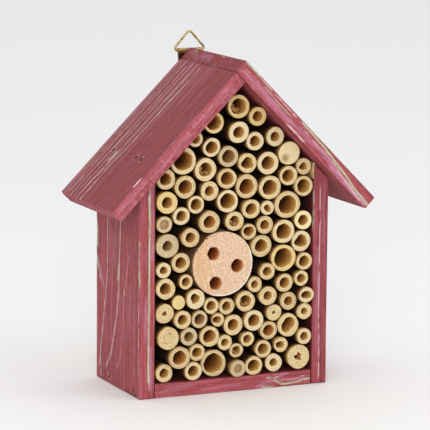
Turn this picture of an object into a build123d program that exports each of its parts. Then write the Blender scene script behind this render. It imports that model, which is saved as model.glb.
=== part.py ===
from build123d import *
import math
import os

# Insect hotel: a small timber house with a pitched roof, packed with bamboo canes
# and one drilled log, and a brass triangle ring on its back to hang it by.
# Millimetres. X runs to the right, Y to the back and Z up.
# The origin is the middle of the flat underside.

# --- House ---
HOUSE_WIDTH = 120.0         # over the outer faces of the side walls
HOUSE_DEPTH = 67.0          # of the walls and the floor board
SOFFIT_APEX = 183.0         # height of the underside of the roof at the ridge
WALL_THICKNESS = 10.0
FLOOR_THICKNESS = 9.0
BACK_PANEL_THICKNESS = 4.0

# --- Roof ---
ROOF_PITCH = 45.0
ROOF_THICKNESS = 9.0
RIGHT_BOARD_LENGTH = 119.0  # its upper end laps over the end of the left board
LEFT_BOARD_LENGTH = 108.0
FRONT_OVERHANG = 13.0

# --- Brads ---
BRAD_DIAMETER = 1.8
BRAD_LENGTH = 25.0
BRAD_SINK = 1.0             # how far each head is punched below the timber
BRAD_HOLE_MOUTH = 4.0       # the hole's cutter starts this far outside the timber
ROOF_BRAD_INSET = 3.5       # from the outer face of the wall
ROOF_BRAD_SETBACKS = (6.0, 13.5, 48.5)   # from the front face of the wall, as are the next two
FLOOR_BRAD_SETBACKS = (8.5, 46.5, 57.5)
RIDGE_BRAD_SETBACKS = (-4.0, 18.0, 40.0)

# --- Drilled log ---
LOG_DIAMETER = 39.0
LOG_OFFSET = -8.5           # of its axis, from the middle of the house
LOG_HEIGHT = 76.5           # of its axis, above the ground
LOG_PROUD = 2.0             # in front of the walls
LOG_HOLE_DIAMETER = 8.0
LOG_HOLE_DEPTH = 50.0
LOG_HOLES = ((-6.0, 6.5), (9.0, -1.5), (-4.5, -11.0))    # from the log's axis

# --- Canes ---
CANE_NODE_WALL = 4.0        # the closed node left at the back of each cane
CANE_CLEARANCE = 0.12       # least gap round a settled cane
SETTLING_ROUNDS = 800
SETTLED = 0.001
GRADED_WIDTH = 100.0        # the inside that the courses below were laid out for
GRADED_HEIGHT = 174.0
GRADED_AREA = 13705.0       # the free front area that their canes fill

# One tuple for each cane, from left to right: across from the middle, up from the
# ground, outside diameter, bore (0 is a solid cane) and how far it stands proud.
COURSES = (
    ((-44.5, 14.5, 11.0, 5.8, 0.5), (-26.5, 15.0, 11.2, 6.5, 2.0), (-11.0, 17.5, 16.8, 11.9, -1.5),
     (0.0, 14.5, 10.4, 5.1, 4.0), (11.5, 15.0, 11.4, 7.2, 2.0), (26.0, 14.5, 11.4, 4.8, -1.0),
     (42.0, 19.0, 15.0, 4.5, 0.0)),
    ((-36.0, 22.5, 13.5, 8.4, 3.0), (-22.5, 25.5, 10.4, 5.9, 0.5), (1.5, 23.5, 9.0, 5.3, -1.0),
     (18.0, 24.5, 11.0, 6.6, 0.0), (30.0, 25.5, 9.5, 4.8, 0.5)),
    ((-42.5, 35.0, 13.7, 0.0, 2.5), (-28.5, 34.5, 11.0, 5.8, 0.0), (-16.0, 34.5, 13.0, 8.0, 1.0),
     (-5.5, 30.0, 9.6, 4.7, -0.5), (8.0, 30.5, 9.0, 5.1, 0.5), (23.0, 34.5, 11.5, 6.8, 0.0),
     (37.0, 37.5, 14.4, 8.5, -0.5), (45.0, 30.5, 10.0, 5.0, 1.0)),
    ((-33.0, 44.5, 11.0, 6.1, 0.5), (-22.5, 45.0, 10.6, 6.4, 0.0), (-10.5, 43.0, 8.4, 4.8, 0.5),
     (-0.5, 40.0, 12.8, 6.9, 0.0), (12.5, 41.0, 12.8, 7.3, 1.0), (25.5, 45.0, 10.1, 2.3, 0.0),
     (45.0, 45.5, 10.2, 4.2, 1.0)),
    ((-44.0, 50.0, 12.1, 3.0, 0.0), (-34.5, 54.5, 8.6, 0.0, -0.5), (-24.0, 55.5, 12.0, 5.5, 0.5),
     (-14.0, 51.5, 10.0, 5.7, 0.0), (-4.5, 51.0, 10.4, 5.7, -1.0), (6.5, 54.0, 12.5, 7.2, 0.5),
     (21.5, 54.5, 11.8, 5.4, 0.0), (35.0, 51.5, 11.0, 5.5, -0.5), (44.5, 55.5, 9.8, 5.5, 3.0)),
    ((-43.5, 64.0, 12.6, 7.0, 0.0), (-30.5, 67.5, 9.2, 5.3, 0.5), (13.5, 62.0, 9.8, 4.7, 0.0),
     (32.5, 62.0, 11.3, 6.4, -0.5), (44.0, 63.5, 9.6, 5.5, 0.5)),
    ((-45.0, 75.0, 9.5, 4.6, 0.5), (-33.5, 79.0, 12.0, 6.8, 0.0), (19.5, 69.0, 10.2, 5.6, 3.0),
     (30.5, 76.0, 16.6, 11.5, 0.0), (43.5, 74.0, 10.7, 6.7, 0.5)),
    ((-42.0, 88.5, 14.4, 6.1, 0.0), (-29.5, 93.5, 11.6, 6.1, 3.0), (17.0, 85.5, 13.5, 7.7, -0.5),
     (29.5, 92.5, 14.5, 9.3, 0.5), (43.5, 86.0, 13.0, 7.6, -1.0)),
    ((-44.5, 101.5, 10.2, 5.7, 0.0), (-34.0, 106.5, 11.0, 6.3, 0.5), (-18.0, 102.0, 13.3, 7.3, 4.0),
     (-1.0, 100.0, 12.0, 6.3, -0.5), (8.5, 94.0, 10.0, 6.2, 0.0), (18.5, 98.0, 11.0, 5.6, 0.5),
     (44.0, 98.5, 11.9, 6.2, -0.5)),
    ((-43.5, 114.0, 13.4, 6.6, 1.0), (-24.0, 113.0, 10.8, 6.8, 0.5), (-4.5, 111.5, 13.8, 9.2, 0.0),
     (9.5, 106.0, 12.0, 6.9, 0.5), (21.0, 106.5, 8.8, 4.3, 0.0), (33.5, 107.5, 16.8, 11.2, 0.0)),
    ((-31.5, 122.5, 13.7, 8.3, 0.0), (-14.5, 118.5, 11.8, 6.0, -0.5), (7.0, 120.0, 14.7, 9.0, 0.0),
     (21.5, 118.5, 14.6, 9.1, 0.5), (42.5, 119.0, 12.4, 8.2, 0.0)),
    ((-44.5, 128.0, 12.4, 7.2, 0.0), (-19.5, 130.0, 14.0, 8.2, 0.0), (-4.5, 126.0, 12.4, 7.8, 0.5),
     (7.5, 133.5, 12.2, 7.2, 0.0), (21.5, 132.5, 13.7, 7.9, -0.5), (33.5, 125.0, 11.8, 7.5, 0.5),
     (43.5, 131.0, 10.3, 4.8, 0.0)),
    ((-33.0, 137.5, 16.6, 11.4, 0.5), (-15.0, 144.5, 11.6, 7.2, 0.0), (-4.5, 138.5, 12.8, 7.7, -0.5),
     (12.0, 147.0, 11.4, 6.4, 0.5), (34.5, 138.0, 14.2, 0.0, 0.5)),
    ((-25.5, 150.0, 9.5, 5.5, 0.5), (-14.0, 159.0, 13.2, 9.0, 0.0), (0.5, 153.0, 13.1, 6.8, 3.0),
     (25.0, 149.0, 11.6, 5.7, 0.0)),
    ((1.5, 167.5, 14.3, 9.4, 0.0), (13.5, 161.5, 11.4, 6.1, 0.5)),
)

# --- Split sliver of cane, wedged beside the right wall ---
SLIVER_THICKNESS = 1.2
SLIVER_WIDTH = 9.6
SLIVER_LENGTH = 40.0
SLIVER_BELOW_SOFFIT = 0.3   # under the corner where the roof meets the wall
SLIVER_PROUD = 2.5

# --- Hanger ---
WIRE_DIAMETER = 1.4
RING_WIDTH = 20.0
RING_LEG_ANGLE = 47.7
RING_FOOT_RADIUS = 1.25     # at the middle of the wire, as is the next one
RING_APEX_RADIUS = 2.0
BAR_BELOW_RIDGE = 2.0
BAR_CLEARANCE = 0.08        # running fit of the ring in the fold of the plate
FOLD_END_CLEARANCE = 0.1    # between each end of the fold and the ring's bends
SHEET_THICKNESS = 0.5       # the plate is one sheet, folded double
PLATE_DROP = 11.0           # from the ring's bar to the plate's lower edge
PLATE_TAPER = 0.8           # off each side at the lower edge
PLATE_CORNER_RADIUS = 2.0
SCREW_DROP = 5.6            # from the ring's bar to the screw
SCREW_DIAMETER = 2.6
SCREW_LENGTH = 16.0         # under the head
SCREW_HEAD_DIAMETER = 5.0
SCREW_HEAD_HEIGHT = 1.6
SCREW_HOLE_CLEARANCE = 0.2
SCREW_SLOT_LENGTH = 2.8
SCREW_SLOT_WIDTH = 0.8
SCREW_SLOT_DEPTH = 0.8

# --- Worked out from the sizes above ---
FRONT = -HOUSE_DEPTH / 2
BACK = HOUSE_DEPTH / 2
ROOF_FRONT = FRONT - FRONT_OVERHANG
PANEL_FACE = BACK - BACK_PANEL_THICKNESS
OUTER = HOUSE_WIDTH / 2
INNER = OUTER - WALL_THICKNESS
SLOPE = math.tan(math.radians(ROOF_PITCH))
RISE = math.sin(math.radians(ROOF_PITCH))
RUN = math.cos(math.radians(ROOF_PITCH))
UPRIGHT = Vector(0, 0, 1)
DOWN_LEFT = Vector(-RUN, 0, -RISE)
DOWN_RIGHT = Vector(RUN, 0, -RISE)
LEFT_NORMAL = Vector(-RISE, 0, RUN)
RIGHT_NORMAL = Vector(RISE, 0, RUN)
APEX = Vector(0, 0, SOFFIT_APEX)
LAP = ROOF_THICKNESS / math.sin(math.radians(2 * ROOF_PITCH))
SEAM = APEX - DOWN_RIGHT * LAP                  # where the joint shows on the left slope
RIDGE = SEAM + RIGHT_NORMAL * ROOF_THICKNESS    # the roof's highest edge

FOLD_RADIUS = WIRE_DIAMETER / 2 + BAR_CLEARANCE + SHEET_THICKNESS
BAR = Vector(0, BACK + FOLD_RADIUS, RIDGE.Z - BAR_BELOW_RIDGE)
BAR_HALF = RING_WIDTH / 2 - WIRE_DIAMETER / 2 - RING_FOOT_RADIUS
PLATE_HALF = BAR_HALF - FOLD_END_CLEARANCE
PLATE_BACK = BACK + 2 * SHEET_THICKNESS


def soffit(across):
    """Height of the underside of the roof, this far across from the middle."""
    return SOFFIT_APEX - abs(across) * SLOPE


def prism(corners, front, back):
    """A solid with a given outline in X and Z, from one Y to another."""
    outline = Polyline(*[(x, z) for x, z in corners], close=True)
    end = Plane(origin=(0, back, 0), x_dir=(1, 0, 0), z_dir=(0, -1, 0))
    return extrude(end * make_face(outline), amount=back - front)


def rod(start, end, diameter):
    """A round bar between two points."""
    run = end - start
    bar = Cylinder(diameter / 2, run.length, align=(Align.CENTER, Align.CENTER, Align.MIN))
    return Plane(origin=start, z_dir=run.normalized()) * bar


def flat(point):
    """The X and Z of a point."""
    return (point.X, point.Z)


def brads(heads, direction):
    """Pins driven into timber at the given surface points."""
    sunk = direction * BRAD_SINK
    driven = direction * (BRAD_SINK + BRAD_LENGTH)
    return [rod(head + sunk, head + driven, BRAD_DIAMETER) for head in heads]


def brad_holes(heads, direction):
    """The holes that the pins have made, open at the surface."""
    outside = direction * -BRAD_HOLE_MOUTH
    driven = direction * (BRAD_SINK + BRAD_LENGTH)
    return [rod(head + outside, head + driven, BRAD_DIAMETER) for head in heads]


def roof_brad_heads(side):
    """Where the brads enter a roof slope, straight above the middle of a wall."""
    across = OUTER - ROOF_BRAD_INSET
    normal_rise = ROOF_THICKNESS / RUN
    top = soffit(across) + normal_rise
    return [Vector(side * across, FRONT + setback, top) for setback in ROOF_BRAD_SETBACKS]


def floor_brad_heads(side):
    """Where the brads enter a wall's outer face, level with the floor board."""
    return [Vector(side * OUTER, FRONT + setback, FLOOR_THICKNESS / 2) for setback in FLOOR_BRAD_SETBACKS]


def ridge_brad_heads():
    """Where the brads enter the right slope, over the end of the left board."""
    middle = RIDGE + DOWN_RIGHT * (LAP / 2)
    return [Vector(middle.X, FRONT + setback, middle.Z) for setback in RIDGE_BRAD_SETBACKS]


def make_wall(side):
    """A side wall with its top bevelled to the soffit."""
    outer = side * OUTER
    inner = side * INNER
    outline = ((outer, 0), (outer, soffit(OUTER)), (inner, soffit(INNER)), (inner, 0))
    wall = prism(outline, FRONT, BACK)
    wall -= brad_holes(roof_brad_heads(side), -UPRIGHT)
    wall -= brad_holes(floor_brad_heads(side), Vector(-side, 0, 0))
    return wall


def make_floor_board():
    """The floor board, held between the walls."""
    outline = ((-INNER, 0), (INNER, 0), (INNER, FLOOR_THICKNESS), (-INNER, FLOOR_THICKNESS))
    board = prism(outline, FRONT, BACK)
    for side in (-1, 1):
        board -= brad_holes(floor_brad_heads(side), Vector(-side, 0, 0))
    return board


def make_back_panel():
    """The thin panel glued in between the walls, floor and roof, flush at the back."""
    outline = ((-INNER, FLOOR_THICKNESS), (INNER, FLOOR_THICKNESS), (INNER, soffit(INNER)),
               (0, SOFFIT_APEX), (-INNER, soffit(INNER)))
    return prism(outline, PANEL_FACE, BACK)


def make_left_roof_board():
    """The left slope, which butts against the underside of the right board."""
    eave = DOWN_LEFT * LEFT_BOARD_LENGTH
    lifted = APEX + LEFT_NORMAL * ROOF_THICKNESS
    board = prism([flat(p) for p in (APEX, SEAM, lifted + eave, APEX + eave)], ROOF_FRONT, BACK)
    board -= brad_holes(roof_brad_heads(-1), -UPRIGHT)
    board -= brad_holes(ridge_brad_heads(), -RIGHT_NORMAL)
    return board


def make_right_roof_board():
    """The right slope, whose upper end laps over the left board."""
    eave = DOWN_RIGHT * RIGHT_BOARD_LENGTH
    board = prism([flat(p) for p in (SEAM, RIDGE, RIDGE + eave, SEAM + eave)], ROOF_FRONT, BACK)
    board -= brad_holes(roof_brad_heads(1), -UPRIGHT)
    board -= brad_holes(ridge_brad_heads(), -RIGHT_NORMAL)
    pilot = Vector(0, BACK, BAR.Z - SCREW_DROP)
    board -= rod(pilot, pilot - Vector(0, SCREW_LENGTH - 2 * SHEET_THICKNESS, 0), SCREW_DIAMETER)
    return board


def make_log():
    """A round of branch wood with blind holes drilled in its face."""
    face = Vector(LOG_OFFSET, FRONT - LOG_PROUD, LOG_HEIGHT)
    log = rod(Vector(LOG_OFFSET, PANEL_FACE, LOG_HEIGHT), face, LOG_DIAMETER)
    for across, up in LOG_HOLES:
        mouth = face + Vector(across, 0, up)
        log -= rod(mouth, mouth + Vector(0, LOG_HOLE_DEPTH, 0), LOG_HOLE_DIAMETER)
    return log


def make_sliver():
    """A split of cane, standing flat against the right wall."""
    high = soffit(INNER) - SLIVER_BELOW_SOFFIT
    low = high - SLIVER_WIDTH
    face = INNER - SLIVER_THICKNESS
    front = FRONT - SLIVER_PROUD
    return prism(((face, low), (INNER, low), (INNER, high), (face, high)), front, front + SLIVER_LENGTH)


def fixed_rounds():
    """The log and the sliver as circles that canes keep clear of: across, up, radius."""
    rounds = [(LOG_OFFSET, LOG_HEIGHT, LOG_DIAMETER / 2)]
    radius = SLIVER_THICKNESS
    count = math.ceil(SLIVER_WIDTH / radius) + 1
    for step in range(count):
        down = SLIVER_BELOW_SOFFIT + SLIVER_WIDTH * step / (count - 1)
        rounds.append((INNER, soffit(INNER) - down, radius))
    return rounds


def cane_grade():
    """Canes are picked thinner or thicker so that the same bundle fills the house."""
    walls = soffit(INNER) - FLOOR_THICKNESS
    front_area = 2 * INNER * walls + INNER * (SOFFIT_APEX - soffit(INNER))
    free_area = front_area - math.pi / 4 * LOG_DIAMETER ** 2
    return math.sqrt(free_area / GRADED_AREA)


def graded_courses():
    """The courses, spread over the inside of this house: lists of [across, up, outside, bore, proud]."""
    grade = cane_grade()
    wider = 2 * INNER / GRADED_WIDTH
    taller = (SOFFIT_APEX - FLOOR_THICKNESS) / GRADED_HEIGHT
    lift = FLOOR_THICKNESS * (1 - taller)
    return [[[across * wider, up * taller + lift, outside * grade, bore * grade, proud]
             for across, up, outside, bore, proud in course] for course in COURSES]


def part_from(cane, across, up, radius, share):
    """Move a cane straight away from a round that it overlaps, by a share of the overlap."""
    gap_x = cane[0] - across
    gap_z = cane[1] - up
    distance = math.hypot(gap_x, gap_z)
    overlap = cane[2] / 2 + radius + CANE_CLEARANCE - distance
    if overlap <= 0:
        return 0.0
    cane[0] += gap_x / distance * overlap * share
    cane[1] += gap_z / distance * overlap * share
    return overlap


def keep_inside(cane):
    """Hold a cane off the walls, the floor and both slopes of the roof."""
    room = cane[2] / 2 + CANE_CLEARANCE
    before = (cane[0], cane[1])
    cane[0] = max(room - INNER, min(INNER - room, cane[0]))
    cane[1] = max(FLOOR_THICKNESS + room, cane[1])
    for side in (-1, 1):
        above = (side * cane[0] * RISE + (cane[1] - SOFFIT_APEX) * RUN) + room
        if above > 0:
            cane[0] -= side * above * RISE
            cane[1] -= above * RUN
    return math.hypot(cane[0] - before[0], cane[1] - before[1])


def settle(canes):
    """Ease overlapping canes apart until each has its own room in the house."""
    rounds = fixed_rounds()
    for _ in range(SETTLING_ROUNDS):
        worst = 0.0
        for index, cane in enumerate(canes):
            for across, up, radius in rounds:
                worst = max(worst, part_from(cane, across, up, radius, 1.0))
            for other in canes[index + 1:]:
                if abs(other[0] - cane[0]) < cane[2] / 2 + other[2] / 2 + CANE_CLEARANCE:
                    here = (cane[0], cane[1])
                    worst = max(worst, part_from(cane, other[0], other[1], other[2] / 2, 0.5))
                    part_from(other, here[0], here[1], cane[2] / 2, 0.5)
            worst = max(worst, keep_inside(cane))
        if worst < SETTLED:
            break


def make_cane(across, up, outside, bore, proud):
    """A cane glued to the back panel, open at the front and closed by a node at the back."""
    heel = Vector(across, PANEL_FACE, up)
    mouth = Vector(across, FRONT - proud, up)
    cane = rod(heel, mouth, outside)
    if bore > 0:
        cane -= rod(heel - Vector(0, CANE_NODE_WALL, 0), mouth, bore)
    return cane


def make_cane_nodes():
    """Every cane, grouped by course and by the left, middle or right third of the house."""
    courses = graded_courses()
    third = 2 * INNER / 6
    bundles = {}
    for number, course in enumerate(courses, 1):
        for cane in course:
            place = "left" if cane[0] < -third else "right" if cane[0] > third else "middle"
            bundles.setdefault(f"canes_course_{number:02d}_{place}", []).append(cane)
    settle([cane for course in courses for cane in course])
    return {name: Compound([make_cane(*cane).solid() for cane in canes]) for name, canes in bundles.items()}


def make_ring():
    """A closed triangle of wire, standing up from its lower bar."""
    leg = math.radians(RING_LEG_ANGLE)
    foot = BAR_HALF + RING_FOOT_RADIUS / math.tan(leg / 2)
    peak = foot * math.tan(leg)
    outline = make_face(Polyline((-foot, 0), (foot, 0), (0, peak), close=True))
    feet = outline.vertices().filter_by(lambda corner: corner.Y < peak / 2)
    outline = fillet(feet, RING_FOOT_RADIUS)
    apex = outline.vertices().sort_by(Axis.Y)[-1]
    outline = fillet(apex, RING_APEX_RADIUS)
    path = (Plane(origin=BAR, x_dir=(1, 0, 0), z_dir=(0, -1, 0)) * outline).wire()
    start = path @ 0
    section = Plane(origin=start, z_dir=path % 0) * Circle(WIRE_DIAMETER / 2)
    return sweep(section, path=path)


def make_plate():
    """The hanger plate: a sheet folded double over the ring's bar."""
    top = BAR.Z
    foot = top - PLATE_DROP
    outline = Polyline((-PLATE_HALF, top), (PLATE_HALF, top), (PLATE_HALF - PLATE_TAPER, foot),
                       (PLATE_TAPER - PLATE_HALF, foot), close=True)
    face = make_face(outline)
    lower = face.vertices().filter_by(lambda corner: corner.Y < top - PLATE_DROP / 2)
    face = fillet(lower, PLATE_CORNER_RADIUS)
    leaves = extrude(Plane(origin=(0, PLATE_BACK, 0), x_dir=(1, 0, 0), z_dir=(0, -1, 0)) * face,
                     amount=PLATE_BACK - BACK)
    end = Vector(PLATE_HALF, 0, 0)
    plate = leaves + rod(BAR - end, BAR + end, 2 * FOLD_RADIUS)
    plate -= rod(BAR - end * 2, BAR + end * 2, WIRE_DIAMETER + 2 * BAR_CLEARANCE)
    screw = Vector(0, PLATE_BACK, top - SCREW_DROP)
    above = Vector(0, SCREW_HEAD_HEIGHT, 0)
    below = Vector(0, SCREW_LENGTH, 0)
    return plate - rod(screw + above, screw - below, SCREW_DIAMETER + 2 * SCREW_HOLE_CLEARANCE)


def make_screw():
    """A pan-head wood screw with a cross slot."""
    seat = Vector(0, PLATE_BACK, BAR.Z - SCREW_DROP)
    head_top = seat + Vector(0, SCREW_HEAD_HEIGHT, 0)
    head = rod(seat, head_top, SCREW_HEAD_DIAMETER)
    rim = head.edges().filter_by(GeomType.CIRCLE).sort_by(Axis.Y)[-1]
    head = fillet(rim, SCREW_HEAD_HEIGHT / 2)
    for size in ((SCREW_SLOT_LENGTH, SCREW_SLOT_WIDTH), (SCREW_SLOT_WIDTH, SCREW_SLOT_LENGTH)):
        head -= Pos(head_top) * Box(size[0], 2 * SCREW_SLOT_DEPTH, size[1])
    return head + rod(seat, seat - Vector(0, SCREW_LENGTH, 0), SCREW_DIAMETER)


def make_nodes():
    """Every piece of the hotel, by name."""
    nodes = {
        "left_wall": make_wall(-1),
        "right_wall": make_wall(1),
        "floor_board": make_floor_board(),
        "back_panel": make_back_panel(),
        "left_roof_board": make_left_roof_board(),
        "right_roof_board": make_right_roof_board(),
        "nesting_log": make_log(),
        "wedged_sliver": make_sliver(),
        "roof_brads_left": Compound(brads(roof_brad_heads(-1), -UPRIGHT)),
        "roof_brads_right": Compound(brads(roof_brad_heads(1), -UPRIGHT)),
        "ridge_brads": Compound(brads(ridge_brad_heads(), -RIGHT_NORMAL)),
        "floor_brads_left": Compound(brads(floor_brad_heads(-1), Vector(1, 0, 0))),
        "floor_brads_right": Compound(brads(floor_brad_heads(1), Vector(-1, 0, 0))),
        "hanger_ring": make_ring(),
        "hanger_plate": make_plate(),
        "hanger_screw": make_screw(),
    }
    nodes.update(make_cane_nodes())
    return nodes


os.makedirs("parts", exist_ok=True)
for name, shape in make_nodes().items():
    export_step(shape, f"parts/{name}.step")
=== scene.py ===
import math

import bmesh
import bpy
import numpy as np
from mathutils import Matrix, Vector, geometry


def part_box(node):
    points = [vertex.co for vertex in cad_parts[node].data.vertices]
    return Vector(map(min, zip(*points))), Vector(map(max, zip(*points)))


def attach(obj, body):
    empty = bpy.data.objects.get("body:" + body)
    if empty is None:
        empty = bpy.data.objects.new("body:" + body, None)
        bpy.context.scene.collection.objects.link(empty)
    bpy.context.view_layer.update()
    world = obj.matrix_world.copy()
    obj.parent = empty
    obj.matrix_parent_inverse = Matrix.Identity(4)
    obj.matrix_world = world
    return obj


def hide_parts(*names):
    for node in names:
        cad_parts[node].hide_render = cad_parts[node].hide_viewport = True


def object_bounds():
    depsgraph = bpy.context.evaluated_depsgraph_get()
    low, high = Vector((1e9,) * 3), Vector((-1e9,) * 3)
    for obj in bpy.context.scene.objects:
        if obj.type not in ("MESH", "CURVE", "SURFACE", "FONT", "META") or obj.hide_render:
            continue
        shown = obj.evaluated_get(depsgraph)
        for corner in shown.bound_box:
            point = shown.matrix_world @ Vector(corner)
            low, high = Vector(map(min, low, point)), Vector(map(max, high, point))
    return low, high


# An insect hotel: painted boards, a bundle of bamboo canes, a drilled log and a brass hanger.
# Metres, in the CAD frame: X to the right, Y to the back, Z up.

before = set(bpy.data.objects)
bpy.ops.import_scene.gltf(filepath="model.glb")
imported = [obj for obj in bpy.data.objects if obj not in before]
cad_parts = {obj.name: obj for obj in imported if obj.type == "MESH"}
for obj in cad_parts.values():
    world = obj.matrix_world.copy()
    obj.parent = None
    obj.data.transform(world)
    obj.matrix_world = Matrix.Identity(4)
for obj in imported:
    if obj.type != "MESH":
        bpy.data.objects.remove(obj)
cad_low, cad_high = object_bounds()
MM = 0.001
LATTICE = 64              # size of the random lattice behind soft noise
HOLE_SIDES = 20
CREASE = 0.9              # a fold sharper than this shows as an edge, in radians
SLANT = math.sqrt(0.5)    # the roof pitches at 45 degrees
BOARD_STEPS = (1.6, 0.45, 0.5)   # mesh spacing along, across and through a board, in millimetres
BOARD_EASE = 0.9          # radius of a board's worn edges
PANEL_EASE = 0.35
GRAIN_DEPTH = 0.14        # the soft grain lies this far below the hard
CHIP_DEPTH = 0.3
END_DEPTH = 0.7           # of the torn grain at a sawn end
WOBBLE = 0.35             # how far a worn line wanders


# ---------------------------------------------------------------- materials kit


class Value:
    """A number or colour that varies over a surface, so that shader maths reads as sums."""

    def __init__(self, finish, socket):
        self.finish = finish
        self.socket = socket

    def _math(self, operation, first, second):
        return self.finish.node("ShaderNodeMath", {"operation": operation}, {0: first, 1: second})

    def __add__(self, other):
        return self._math("ADD", self, other)

    def __radd__(self, other):
        return self._math("ADD", other, self)

    def __sub__(self, other):
        return self._math("SUBTRACT", self, other)

    def __rsub__(self, other):
        return self._math("SUBTRACT", other, self)

    def __mul__(self, other):
        return self._math("MULTIPLY", self, other)

    def __rmul__(self, other):
        return self._math("MULTIPLY", other, self)


class Finish:
    """One material and the nodes that give it its colour, gloss and relief."""

    def __init__(self, name, **settings):
        self.material = bpy.data.materials.new(name)
        self.material.use_nodes = True
        self.tree = self.material.node_tree
        self.shader = self.tree.nodes["Principled BSDF"]
        for socket, value in settings.items():
            self.shader.inputs[socket.replace("_", " ")].default_value = value

    def node(self, kind, settings, sockets, result=0):
        """A node of any kind; its settings come first, then its sockets' values or links."""
        made = self.tree.nodes.new(kind)
        for key, value in settings.items():
            if key == "stops":
                set_stops(made.color_ramp, value)
            else:
                setattr(made, key, value)
        for key, value in sockets.items():
            if isinstance(value, Value):
                self.tree.links.new(value.socket, made.inputs[key])
            else:
                made.inputs[key].default_value = value
        return Value(self, made.outputs[result])

    def attribute(self, name, result="Color"):
        return self.node("ShaderNodeAttribute", {"attribute_name": name}, {}, result)

    def channels(self, name):
        """The three numbers of a vertex attribute."""
        colour = self.attribute(name)
        return [self.node("ShaderNodeSeparateColor", {}, {"Color": colour}, part) for part in range(3)]

    def stretched(self, place, scale):
        return self.node("ShaderNodeVectorMath", {"operation": "MULTIPLY"}, {0: place, 1: scale})

    def speckle(self, place, scale, detail=3.0, roughness=0.55, distortion=0.0):
        """Soft noise from 0 to 1; the scale may differ along the three directions."""
        if isinstance(scale, tuple):
            place, scale = self.stretched(place, scale), 1.0
        sockets = {"Vector": place, "Scale": scale, "Detail": detail,
                   "Roughness": roughness, "Distortion": distortion}
        return self.node("ShaderNodeTexNoise", {}, sockets)

    def step(self, value, low, high):
        """0 below low, 1 above high, and smooth between."""
        settings = {"interpolation_type": "SMOOTHSTEP"}
        return self.node("ShaderNodeMapRange", settings, {"Value": value, "From Min": low, "From Max": high})

    def mix(self, share, first, second, blend="MIX"):
        settings = {"data_type": "RGBA", "blend_type": blend}
        return self.node("ShaderNodeMix", settings, {0: share, 6: first, 7: second}, 2)

    def tone(self, value, *stops):
        """A colour for each amount: every stop has its place, then red, green and blue."""
        return self.node("ShaderNodeValToRGB", {"stops": stops}, {"Fac": value})

    def coats(self, colour, *layers):
        """Colours laid over one another: each layer has its share, then its own red, green and blue."""
        for share, tone in layers:
            colour = self.mix(share, colour, paint(*tone))
        return colour

    def relief(self, height, distance, strength=1.0):
        """Fine relief from a height that varies, in metres."""
        sockets = {"Height": height, "Distance": distance, "Strength": strength}
        self.join(self.node("ShaderNodeBump", {}, sockets), "Normal")

    def join(self, value, socket):
        self.tree.links.new(value.socket, self.shader.inputs[socket])


def set_stops(ramp, stops):
    """Give a colour ramp its stops."""
    while len(ramp.elements) > len(stops):
        ramp.elements.remove(ramp.elements[-1])
    while len(ramp.elements) < len(stops):
        ramp.elements.new(1.0)
    for element, (place, *tone) in zip(ramp.elements, stops):
        element.position = place
        element.color = paint(*tone)


def paint(red, green, blue):
    """A colour as seen on a screen, 0 to 255, made linear."""
    def linear(part):
        part /= 255
        return part / 12.92 if part <= 0.04045 else ((part + 0.055) / 1.055) ** 2.4
    return (linear(red), linear(green), linear(blue), 1.0)


# ---------------------------------------------------------------- mesh kit


def ripple(seed, across, down):
    """Smooth noise from -1 to 1 over two arrays of places, one bump a unit."""
    lattice = np.random.default_rng(seed).uniform(-1, 1, (LATTICE, LATTICE))
    left, top = np.floor(across).astype(int), np.floor(down).astype(int)
    part_x, part_y = across - left, down - top
    part_x, part_y = part_x * part_x * (3 - 2 * part_x), part_y * part_y * (3 - 2 * part_y)

    def corner(right, below):
        return lattice[(left + right) % LATTICE, (top + below) % LATTICE]

    upper = corner(0, 0) * (1 - part_x) + corner(1, 0) * part_x
    lower = corner(0, 1) * (1 - part_x) + corner(1, 1) * part_x
    return upper * (1 - part_y) + lower * part_y


def smooth(value, low, high):
    """0 below low, 1 above high, and smooth between."""
    share = np.clip((value - low) / (high - low), 0, 1)
    return share * share * (3 - 2 * share)


def whole_turn(count):
    """Even angles once round."""
    return np.linspace(0, 2 * math.pi, count, endpoint=False)


def new_piece(name, points, faces, finish, node=None, body="house"):
    """A mesh piece that rides on a body and may stand for a CAD node. Points are in millimetres."""
    mesh = bpy.data.meshes.new(name)
    mesh.from_pydata([tuple(MM * float(part) for part in point) for point in points], [], faces)
    mesh.materials.append(finish)
    piece = bpy.data.objects.new(name, mesh)
    bpy.context.collection.objects.link(piece)
    turn_faces_out(mesh)
    mesh.shade_smooth()
    mesh.set_sharp_from_angle(angle=CREASE)
    if node:
        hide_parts(node)
    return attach(piece, body)


def turn_faces_out(mesh):
    """Make every face of a closed mesh look outward."""
    work = bmesh.new()
    work.from_mesh(mesh)
    bmesh.ops.recalc_face_normals(work, faces=work.faces)
    work.to_mesh(mesh)
    work.free()


# What a vertex attribute holds, by how many numbers each vertex has in it.
LAYER_KINDS = {1: ("FLOAT", "value"), 3: ("FLOAT_VECTOR", "vector"), 4: ("FLOAT_COLOR", "color")}


def add_layer(piece, name, rows):
    """A vertex attribute of one number, of three or of a colour with its alpha."""
    rows = np.asarray(rows, np.float32)
    kind, field = LAYER_KINDS[rows.size // len(rows)]
    layer = piece.data.attributes.new(name, kind, "POINT")
    layer.data.foreach_set(field, rows.ravel())


def loose_parts(node):
    """The vertices of each separate solid of a CAD node, in millimetres, from left to right."""
    work = bmesh.new()
    work.from_mesh(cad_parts[node].data)
    bmesh.ops.remove_doubles(work, verts=work.verts, dist=1e-6)
    waiting = set(work.verts)
    parts = []
    while waiting:
        edge = [waiting.pop()]
        part = []
        while edge:
            vertex = edge.pop()
            part.append(vertex.co / MM)
            for link in vertex.link_edges:
                other = link.other_vert(vertex)
                if other in waiting:
                    waiting.remove(other)
                    edge.append(other)
        parts.append(np.array(part))
    work.free()
    return sorted(parts, key=lambda part: tuple(np.round(part.mean(0), 3)))


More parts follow.
